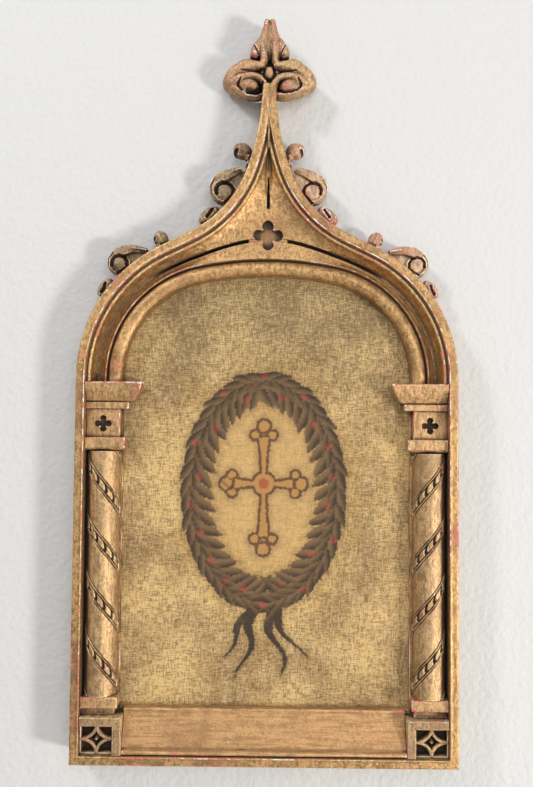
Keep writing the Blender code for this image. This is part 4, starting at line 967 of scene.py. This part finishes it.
into_box(sill, (-SILL_END, -0.0266, SILL_FOOT - MOUNT_HEIGHT), (SILL_END, -0.0104, SILL_TOP - MOUNT_HEIGHT))
show_wear_and_shade_lines(sill)
# The same gilding weathered along the grain of the rail, brown where water has stood.
weathered_gilding = gilding(
    "weathered_gilding", leaf="#cba06b", shade="#a87e54", dirt="#785741", worn=0.31, bole="#b05c48",
    gesso=0.21, grime_and_shade=0.36, metal=0.55, rough=0.48, grain=(0.08, 1.0, 1.0))
finished("sill_rail_weathered", sill, weathered_gilding, "sill_rail", 60)

# The corner blocks
# Small pine blocks in the lower corners, sunk and carved with four curved bars round a pointed stud,
# between two plain borders. Glued on; the gilding in the piercings is dull with dirt and darkened with
# painted shade, the more the deeper it lies.

BLOCK_TOP = 0.0370
BLOCK_BORDER = 0.0072
FRONT_INNER = HALF_WIDTH - FILLET_WIDTH - FIT_GAP
TRACERY_FRONT, TRACERY_FLOOR, TRACERY_BAR = 0.0235, 0.0160, 0.0031


def block_depth(x, z):
    """Depth of the right-hand block's face at a point, heights from the underside."""
    left, bottom, top = BLOCK_INNER + BLOCK_BORDER, SILL_FOOT, BLOCK_TOP - BLOCK_BORDER
    past_border = min(x - left, top - z)
    if past_border < 0:
        crown = 0.0270 - 0.0007 * smooth(1 - min(-past_border, BLOCK_BORDER + past_border) / 0.0009)
        mitre = abs((x - left) - (top - z))
        return crown - 0.0007 * smooth(1 - mitre / 0.0005)
    half_x, half_z = (FRONT_INNER - left) / 2, (top - bottom) / 2
    u, v = (x - left) / half_x - 1, (z - bottom) / half_z - 1
    bar = 9.0
    for su, sv in ((1, 1), (-1, 1), (-1, -1), (1, -1)):
        bar = min(bar, abs(math.hypot(u - su, v - sv) - 1.0) * half_x)
    rim = min(half_x * (1 - abs(u)), half_z * (1 - abs(v))) - 0.0010
    bar = min(bar, max(rim + TRACERY_BAR / 2 - 0.0004, 0.0) * 1.6)
    rise = smooth((TRACERY_BAR / 2 + 0.0003 - bar) / 0.0009)
    depth = lerp(TRACERY_FLOOR, TRACERY_FRONT - 0.0010 * (bar / TRACERY_BAR) ** 2, rise)
    stud = (abs(u) * half_x + abs(v) * half_z) / 0.0040
    return max(depth, lerp(TRACERY_FRONT + 0.0006, TRACERY_FLOOR, min(stud, 1.0) ** 1.3))


def carved_block(side):
    """A block whose front is the carved height field and whose other sides are plain."""
    bm = bmesh.new()
    bmesh.ops.create_grid(bm, x_segments=128, y_segments=114, size=1.0)
    for vert in bm.verts:
        x = lerp(BLOCK_INNER, FRONT_INNER, (vert.co.x + 1) / 2)
        z = lerp(SILL_FOOT, BLOCK_TOP, (vert.co.y + 1) / 2)
        vert.co = (side * x, -block_depth(x, z), z - MOUNT_HEIGHT)
    grown = bmesh.ops.extrude_edge_only(bm, edges=[edge for edge in bm.edges if edge.is_boundary])
    for vert in grown["geom"]:
        if isinstance(vert, bmesh.types.BMVert):
            vert.co.y = -SILL_BACK
    return closed(bm)


# Gilding that dirt has dulled, on carved work too small to dust.
dulled_gilding = gilding(
    "dulled_gilding", leaf="#c3a174", shade="#917454", dirt="#594335", worn=0.28, bole="#a35544",
    gesso=0.20, grime_and_shade=0.46, metal=0.52, rough=0.52)
SIDES = ((-1, "left"), (1, "right"))
for side, word in SIDES:
    node = f"corner_tracery_{word}"
    block = hand_carved(mesh_of(f"{node}_carved", carved_block(side)), 0.00018, 0.007, 4 + side)
    show_wear_and_shade_lines(into_box(block, *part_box(node)))
    depth = -places_of(block)[:, 1]
    # Dirt and painted shade in the piercings, darker the deeper the carving lies.
    store_soot_and_shade(block, np.clip((TRACERY_FRONT - 0.0022 - depth) / 0.0035, 0, 1) * 0.8)
    finished(f"{node}_carved", block, dulled_gilding, node, 60)

# Column bases and capitals
# Little moulded blocks glued on the stiles: a plain two-step base, and a capital with a wide hollow head
# over a pierced die. Sawn and planed softwood under the same gilding, with white gesso along the arrises.

DIE_WIDTH = 0.0269
DIE_INNER = HALF_WIDTH - FILLET_WIDTH - DIE_WIDTH
BASE_FOOT = BLOCK_TOP + FIT_GAP
CAPITAL_FOOT = CAPITAL_TOP - 0.0546
CAPITAL_LEVELS = [
    (0.0, 1.2, 6.3), (0.5, 2.4, 5.2), (1.4, 3.9, 4.1), (2.2, 4.8, 3.6), (2.6, 5.0, 3.4), (5.0, 5.0, 3.4),
    (9.4, 5.0, 3.4), (10.0, 4.8, 3.6), (10.3, 4.3, 4.2), (10.4, 0.0, 8.2), (12.0, 0.0, 8.2),
    (18.0, 0.0, 8.2), (24.0, 0.0, 8.2), (31.0, 0.0, 8.2), (33.1, 0.0, 8.2), (33.2, 6.7, 6.1),
    (33.6, 7.2, 5.6), (35.5, 7.5, 5.3), (37.7, 7.6, 5.2), (38.2, 7.2, 5.6), (38.5, 6.9, 7.0),
    (39.0, 7.6, 7.0), (39.4, 9.4, 6.4), (40.1, 11.2, 5.8), (41.5, 12.1, 5.2), (43.1, 13.0, 4.2),
    (45.0, 14.4, 3.1), (47.1, 16.0, 2.0), (49.5, 17.2, 0.9), (51.6, 17.8, 0.3), (53.4, 18.1, 0.0),
    (54.2, 18.1, 0.1), (54.6, 17.8, 0.5),
]
BASE_LEVELS = [
    (0.0, -0.6, 7.5), (3.0, -0.6, 7.5), (5.7, -0.6, 7.5), (5.9, 1.8, 3.4), (6.3, 2.2, 3.0), (9.5, 2.2, 3.0),
    (12.8, 2.2, 3.0), (13.7, 1.9, 3.3), (14.2, 1.6, 3.6), (14.4, 1.2, 4.0),
]


def moulded_block(foot, levels, side):
    """A block against the fillet whose inner end and front follow one profile, in millimetres."""
    rows = []
    for rise, reach, setback in levels:
        inner, front, z = DIE_INNER - reach / 1000, THICKNESS - setback / 1000, foot + rise / 1000
        row = [(inner, z, SILL_BACK), (FRONT_INNER, z, SILL_BACK)]
        row += [(lerp(FRONT_INNER, inner + 0.0006, step / 24), z, front) for step in range(25)]
        row += [(inner + 0.0002, z, front - 0.0002)]
        row += [(inner, z, lerp(front - 0.0006, SILL_BACK, step / 8)) for step in range(9)]
        rows.append([(side * x, height, depth) for x, height, depth in row])
    bm = draped_grid(rows)
    bmesh.ops.remove_doubles(bm, verts=bm.verts, dist=1e-5)
    tall = [edge for edge in bm.edges if abs(edge.verts[0].co.z - edge.verts[1].co.z) > 0.0015]
    bmesh.ops.subdivide_edges(bm, edges=tall, cuts=3, use_grid_fill=True)
    ends = bmesh.ops.holes_fill(bm, edges=[edge for edge in bm.edges if edge.is_boundary], sides=0)["faces"]
    bmesh.ops.inset_individual(bm, faces=ends, thickness=0.0006, use_even_offset=True)
    bmesh.ops.recalc_face_normals(bm, faces=bm.faces)
    return bm


# The same water gilding where it was knocked to white gesso along square arrises.
chipped_water_gilding = gilding(
    "chipped_water_gilding", leaf="#d4ac78", shade="#a07b55", dirt="#6b503d", worn=0.40, bole="#b5543f",
    gesso=0.26, grime_and_shade=0.42, metal=0.60, rough=0.46)
DIE_FOIL = (DIE_INNER + DIE_WIDTH / 2, CAPITAL_FOOT + 0.0213)
for side, word in SIDES:
    node = f"column_base_{word}"
    base = mesh_of(f"{node}_gilt", moulded_block(BASE_FOOT, BASE_LEVELS, side))
    hand_carved(base, 0.00016, 0.009, 6)
    show_wear_and_shade_lines(into_box(base, *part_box(node)))
    finished(f"{node}_gilt", base, chipped_water_gilding, node, 50)
    node = f"capital_{word}"
    capital = mesh_of(f"{node}_gilt", moulded_block(CAPITAL_FOOT, CAPITAL_LEVELS, side))
    punch = foil_cutter((side * DIE_FOIL[0], DIE_FOIL[1]), 0.0042, 0.0026, 0.0150, PAST_THE_FRONT, 0.10)
    capital = cut_with(hand_carved(capital, 0.00018, 0.009, 8 + side), punch)
    show_wear_and_shade_lines(into_box(capital, *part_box(node)))
    x, y, z = places_of(capital).T
    from_foil = np.hypot(x - side * DIE_FOIL[0], z - (DIE_FOIL[1] - MOUNT_HEIGHT))
    # The pierced quatrefoil is painted dark all through: painted shade in the hole.
    store_soot_and_shade(capital, (from_foil < 0.0078) & (y > -0.0186))
    finished(f"{node}_gilt", capital, chipped_water_gilding, node, 50)

# The half columns
# Turned softwood shafts, split down the middle and glued on the stiles, each carved with a spiral band of
# little blocks between two thin rims that runs round four times; gilt, with dirt and painted shade in the
# carving.

SHAFT_RADIUS = 0.0125
SHAFT_TOP = CAPITAL_FOOT - 2 * FIT_GAP
SHAFT_BOTTOM = BASE_FOOT + 0.0144 + FIT_GAP
SHAFT_CENTRE = FRONT_INNER - 0.0009 - SHAFT_RADIUS
BANDS, BAND_LEAD, BAND_HALF_WIDTH, BLOCKS_PER_BAND = 4, 0.0026, 0.0034, 6
BAND_DROP = (SHAFT_TOP - SHAFT_BOTTOM - 0.0096) / BANDS
BAND_SLOPE = math.atan2(BAND_DROP, math.pi * SHAFT_RADIUS)


def shaft_rise(angle, level):
    """How far the carving stands from the plain shaft at an angle from the front and a height."""
    turn = (angle + math.pi / 2) / math.pi
    best = 9.0
    for band in range(-1, BANDS + 1):
        away = (level - (SHAFT_TOP - BAND_LEAD - BAND_DROP * (band + turn))) * math.cos(BAND_SLOPE)
        if abs(away) < abs(best) and (band >= 0 or away < 0.0):
            best = away
    off = abs(best) / BAND_HALF_WIDTH
    if off > 1.35:
        return 0.0
    rim = 0.0008 * smooth(1 - abs(off - 0.90) / 0.17)
    outside = -0.0007 * smooth(1 - abs(off - 1.16) / 0.16)
    inside = -0.0011 * smooth(1 - abs(off - 0.66) / 0.13)
    run = turn * BLOCKS_PER_BAND - 0.20 * (1 - (off / 0.7) ** 2) + 0.5
    part = run - math.floor(run)
    gap = smooth(1 - min(part, 1 - part) / 0.25)
    block = (0.0008 - 0.0027 * gap) * smooth((0.70 - off) / 0.12)
    return rim + outside + inside + block


column_gilding = gilding(
    "burnished_water_gilding", leaf="#d3ae7c", shade="#a0805c", dirt="#6b5140", worn=0.27, bole="#b25a46",
    gesso=0.18, grime_and_shade=0.44, metal=0.66, rough=0.43)
for side, word in SIDES:
    rows = []
    for step in range(389):
        level = lerp(SHAFT_BOTTOM, SHAFT_TOP - FIT_GAP, step / 388)
        row = []
        for turn in range(89):
            angle = math.pi * (turn / 88 - 0.5)
            radius = SHAFT_RADIUS + shaft_rise(angle, level)
            x = side * (SHAFT_CENTRE - radius * math.sin(angle))
            row.append((x, level, SILL_BACK + radius * math.cos(angle)))
        rows.append(row + [row[0]])
    node = f"column_{word}"
    shaft = mesh_of(f"{node}_carved", closed(draped_grid(rows), 1e-6))
    hand_carved(shaft, 0.00012, 0.012, 10 + side)
    x, y, _ = places_of(shaft).T
    sunk = SHAFT_RADIUS - 0.00025 - np.hypot(x - side * SHAFT_CENTRE, y + SILL_BACK)
    show_wear_and_shade_lines(into_box(shaft, *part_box(node)))
    # Dirt and painted shade in the sunk grooves of the band.
    store_soot_and_shade(shaft, np.clip(sunk / 0.0004, 0, 1) * (y < -SILL_BACK - 0.0004) * 0.9)
    finished(f"{node}_carved", shaft, column_gilding, node, 70)

# The crockets
# Four curled leaves carved separately and glued on the gable's edge: a scroll round an eye, a bud on a
# short neck above it and a small lobe below. Their gilding is grey-brown, and red and white where rubbed.

CROCKETS = {
    "shoulder": (SHOULDER_END - 0.0348, 1.05),
    "upper": (SHOULDER_END + SLOPE_LENGTH + 0.0479, 1.20),
}
CROCKET_MIDDLE = 0.0120

# Gouge cuts in millimetres from the middle of the eye, to the right and up, as on the right-hand side.
CROCKET_CUTS = {
    "upper": (
        ([(-8.2, -1.5), (-8.4, 1.6), (-6.6, 5.0), (-3.2, 7.2), (1.2, 7.3), (4.6, 5.2), (6.2, 1.6),
          (5.6, -1.4)], 1.35, 2.4),
        ([(-1.6, -8.6), (-4.5, -6.2), (-7.4, -3.0)], 1.2, 2.0),
        ([(7.6, 9.4), (10.4, 4.0), (10.0, -2.4)], 0.9, 0.5),
        ([(9.0, -14.2), (10.4, -17.0), (13.0, -20.6)], 1.2, 2.6),
        ([(-12.6, 22.4), (-16.4, 21.6), (-19.0, 22.6)], 1.4, 2.2),
        ([(-10.4, 34.4), (-9.2, 30.6), (-10.4, 26.8), (-13.4, 24.6)], 1.6, 2.6),
    ),
    "shoulder": (
        ([(-5.8, -2.0), (-5.6, 2.2), (-3.4, 5.6), (0.6, 6.8), (4.2, 5.4), (6.4, 2.6), (6.6, -1.2)],
         1.25, 2.2),
        ([(2.0, -7.4), (-2.0, -5.8), (-4.8, -3.4)], 1.1, 1.8),
        ([(5.8, 8.6), (9.2, 4.2), (9.6, -1.4)], 0.9, 0.5),
        ([(12.0, -16.2), (12.4, -19.4), (14.8, -23.0)], 1.2, 2.4),
        ([(-21.4, 15.4), (-24.8, 15.6), (-28.0, 17.6)], 1.3, 1.8),
        ([(-27.6, 27.4), (-25.4, 26.2), (-25.0, 23.4), (-27.0, 21.4)], 1.6, 2.6),
    ),
}
# Gilding for the left side, dark with smoke and old size and with painted shade, and for the right side,
# lighter with painted light and rubbed back to pink bole.
smoked_and_shaded_gilding = gilding(
    "smoked_and_shaded_gilding", leaf="#b39872", shade="#755f50", dirt="#3e302a", worn=0.26, bole="#94523f",
    gesso=0.19, grime_and_shade=0.60, metal=0.46, rough=0.54)
pink_rubbed_and_lit_gilding = gilding(
    "pink_rubbed_and_lit_gilding", leaf="#d6b692", shade="#a6846c", dirt="#634a3e", worn=0.42, bole="#b86450",
    gesso=0.24, grime_and_shade=0.50, metal=0.50, rough=0.52)
for side, word, gilt, wider, deeper in ((-1, "left", smoked_and_shaded_gilding, 1.7, 1.7),
                                        (1, "right", pink_rubbed_and_lit_gilding, 1.35, 1.25)):
    for where, (at, scale) in CROCKETS.items():
        node = f"crocket_{where}_{word}"
        eye_x, eye_z = outer_point(at, -scale * 0.0085)
        leaf = bmesh.new()
        leaf.from_mesh(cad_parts[node].data)
        bmesh.ops.remove_doubles(leaf, verts=leaf.verts, dist=1e-6)
        cheek = bmesh.new()
        bmesh.ops.create_uvsphere(cheek, u_segments=32, v_segments=20, radius=1.0)
        swell = Matrix.Diagonal((scale * 0.0088, 0.0062, scale * 0.0078, 1.0))
        stand = Matrix.Translation((side * (eye_x - 0.0006), -CROCKET_MIDDLE, eye_z - MOUNT_HEIGHT))
        bmesh.ops.transform(cheek, matrix=stand @ swell, verts=cheek.verts)
        crocket = carved_from(f"{node}_carved", [leaf, cheek], 0.00042, 7)

        def by_eye(point, side=side, eye_x=eye_x, eye_z=eye_z):
            return side * (eye_x + point[0] / 1000), eye_z + point[1] / 1000 - MOUNT_HEIGHT

        cuts = [(points, wide * wider, deep * deeper) for points, wide, deep in CROCKET_CUTS[where]]
        gouged(crocket, cuts, by_eye)
        hand_carved(crocket, 0.00034, 0.005, 14 + 3 * side + scale, 0.4)
        show_wear_and_shade_lines(into_box(crocket, *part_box(node)))
        finished(f"{node}_carved", crocket, gilt, node, 80)

# The room
# A white plastered wall behind the plaque, a pale floor far below it, a soft key light from the lower
# right, a weaker one from the upper left and a broad one in front. The wall is open behind the plaque.

plaster, shader, node = new_material("painted_plaster")
spot = node("TexCoord", "Object")
shader.inputs["Base Color"].default_value = colour("#cccbc9")
shader.inputs["Roughness"].default_value = 0.7
rolled = node("TexNoise", Vector=spot, Scale=190.0, Detail=2.0)
trowelled = node("TexNoise", Vector=spot, Scale=35.0, Detail=2.0)
relief = node("Math", operation="MULTIPLY_ADD", i0=trowelled, i1=1.3, i2=rolled)
bump = node("Bump", Height=relief, Strength=0.8, Distance=0.0012)
facing = node("NewGeometry", "Backfacing")
clear = node("BsdfTransparent")
unseen_back = node("MixShader", i0=facing, i1=shader.outputs[0], i2=clear)
surface = plaster.node_tree.nodes["Material Output"].inputs["Surface"]
for source, socket in ((bump, shader.inputs["Normal"]), (unseen_back, surface)):
    plaster.node_tree.links.new(source, socket)

HIDDEN_LAP = 0.0007
right_edge = [(0.0, HIDDEN_LAP), (HALF_WIDTH - HIDDEN_LAP, HIDDEN_LAP)]
right_edge += [outer_point(OUTER_LENGTH * step / 60, HIDDEN_LAP) for step in range(60)]
right_edge += [(x * 0.00088, z * 0.00092 + FINIAL_CENTRE) for x, z in reversed(half_outline[1:-3])]
opening = [(x, z - MOUNT_HEIGHT) for x, z in right_edge + [(-x, z) for x, z in reversed(right_edge[1:])]]
wall = bmesh.new()
WALL_PLANE, WALL_REACH = 0.0006, 1.6
for loop in (opening, [(x * WALL_REACH, z * WALL_REACH) for x, z in ((-1, -1), (1, -1), (1, 1), (-1, 1))]):
    verts = [wall.verts.new((x, WALL_PLANE, z)) for x, z in loop]
    for a, b in zip(verts, verts[1:] + verts[:1]):
        wall.edges.new((a, b))
bmesh.ops.triangle_fill(
    wall, use_beauty=True, use_dissolve=False, edges=wall.edges[:], normal=(0.0, -1.0, 0.0))
bmesh.ops.recalc_face_normals(wall, faces=wall.faces)
if sum(face.normal.y for face in wall.faces) > 0:
    bmesh.ops.reverse_faces(wall, faces=wall.faces)
FLOOR_DROP = 1.6
pale_floor, shader, _ = new_material("pale_floor")
shader.inputs["Base Color"].default_value = colour("#dedcd7")
shader.inputs["Roughness"].default_value = 0.8
floor = bmesh.new()
bmesh.ops.create_grid(floor, x_segments=1, y_segments=1, size=4.0)
bmesh.ops.translate(floor, vec=(0, 0, -FLOOR_DROP), verts=floor.verts)
for name, shape, material in (("plaster_wall", wall, plaster), ("pale_floor", floor, pale_floor)):
    mesh = mesh_of(name, shape)
    mesh.materials.append(material)
    ground = bpy.data.objects.new(name, mesh)
    bpy.context.scene.collection.objects.link(ground)


PLAQUE_MIDDLE = Vector((0, 0, -0.12))
for name, direction, distance, size, power, tint in (
        ("key_light", (1.30, -1.0, -0.50), 2.6, 0.42, 46.0, "#fffdf8"),
        ("fill_light", (-1.2, -1.0, 1.35), 2.2, 0.34, 21.0, "#fafbff"),
        ("front_light", (0.2, -1.0, 0.35), 2.0, 1.6, 12.0, "#ffffff")):
    lamp = bpy.data.lights.new(name, "AREA")
    lamp.shape = "DISK"
    lamp.size = size
    lamp.energy = power
    lamp.color = colour(tint)[:3]
    holder = bpy.data.objects.new(name, lamp)
    aim = Vector(direction).normalized()
    holder.location = PLAQUE_MIDDLE + aim * distance
    holder.rotation_euler = aim.to_track_quat("Z", "Y").to_euler()
    bpy.context.scene.collection.objects.link(holder)
world = bpy.data.worlds.new("soft_room")
world.use_nodes = True
world.node_tree.nodes["Background"].inputs["Color"].default_value = colour("#f3f5f8")
world.node_tree.nodes["Background"].inputs["Strength"].default_value = 0.50
bpy.context.scene.world = world
bpy.context.scene.view_settings.view_transform = "Standard"

# The camera's tilt, roll and swing in degrees, its place, and its lens for a picture 787 pixels tall.
TILT, ROLL, SWING = (math.radians(degrees) for degrees in (-2.154, 0.483, -0.3645))
CAMERA_PLACE = (0.0034, -0.5832, -0.1499)
FOCAL_LENGTH_PIXELS, PICTURE_PIXELS, SENSOR_MM = 700, 787, 36.0
turned = Matrix.Rotation(SWING, 3, "Z") @ Matrix.Rotation(ROLL, 3, "Y") @ Matrix.Rotation(TILT, 3, "X")
right, ahead, up = turned
lens = bpy.data.cameras.new("camera")
lens.sensor_fit = "AUTO"
lens.sensor_width = SENSOR_MM
lens.lens = FOCAL_LENGTH_PIXELS / PICTURE_PIXELS * SENSOR_MM
lens.clip_start = 0.01
camera = bpy.data.objects.new("camera", lens)
stance = Matrix((right, up, -ahead)).transposed().to_4x4()
stance.translation = CAMERA_PLACE
camera.matrix_world = stance
bpy.context.scene.collection.objects.link(camera)
bpy.context.scene.camera = camera

bpy.context.view_layer.update()
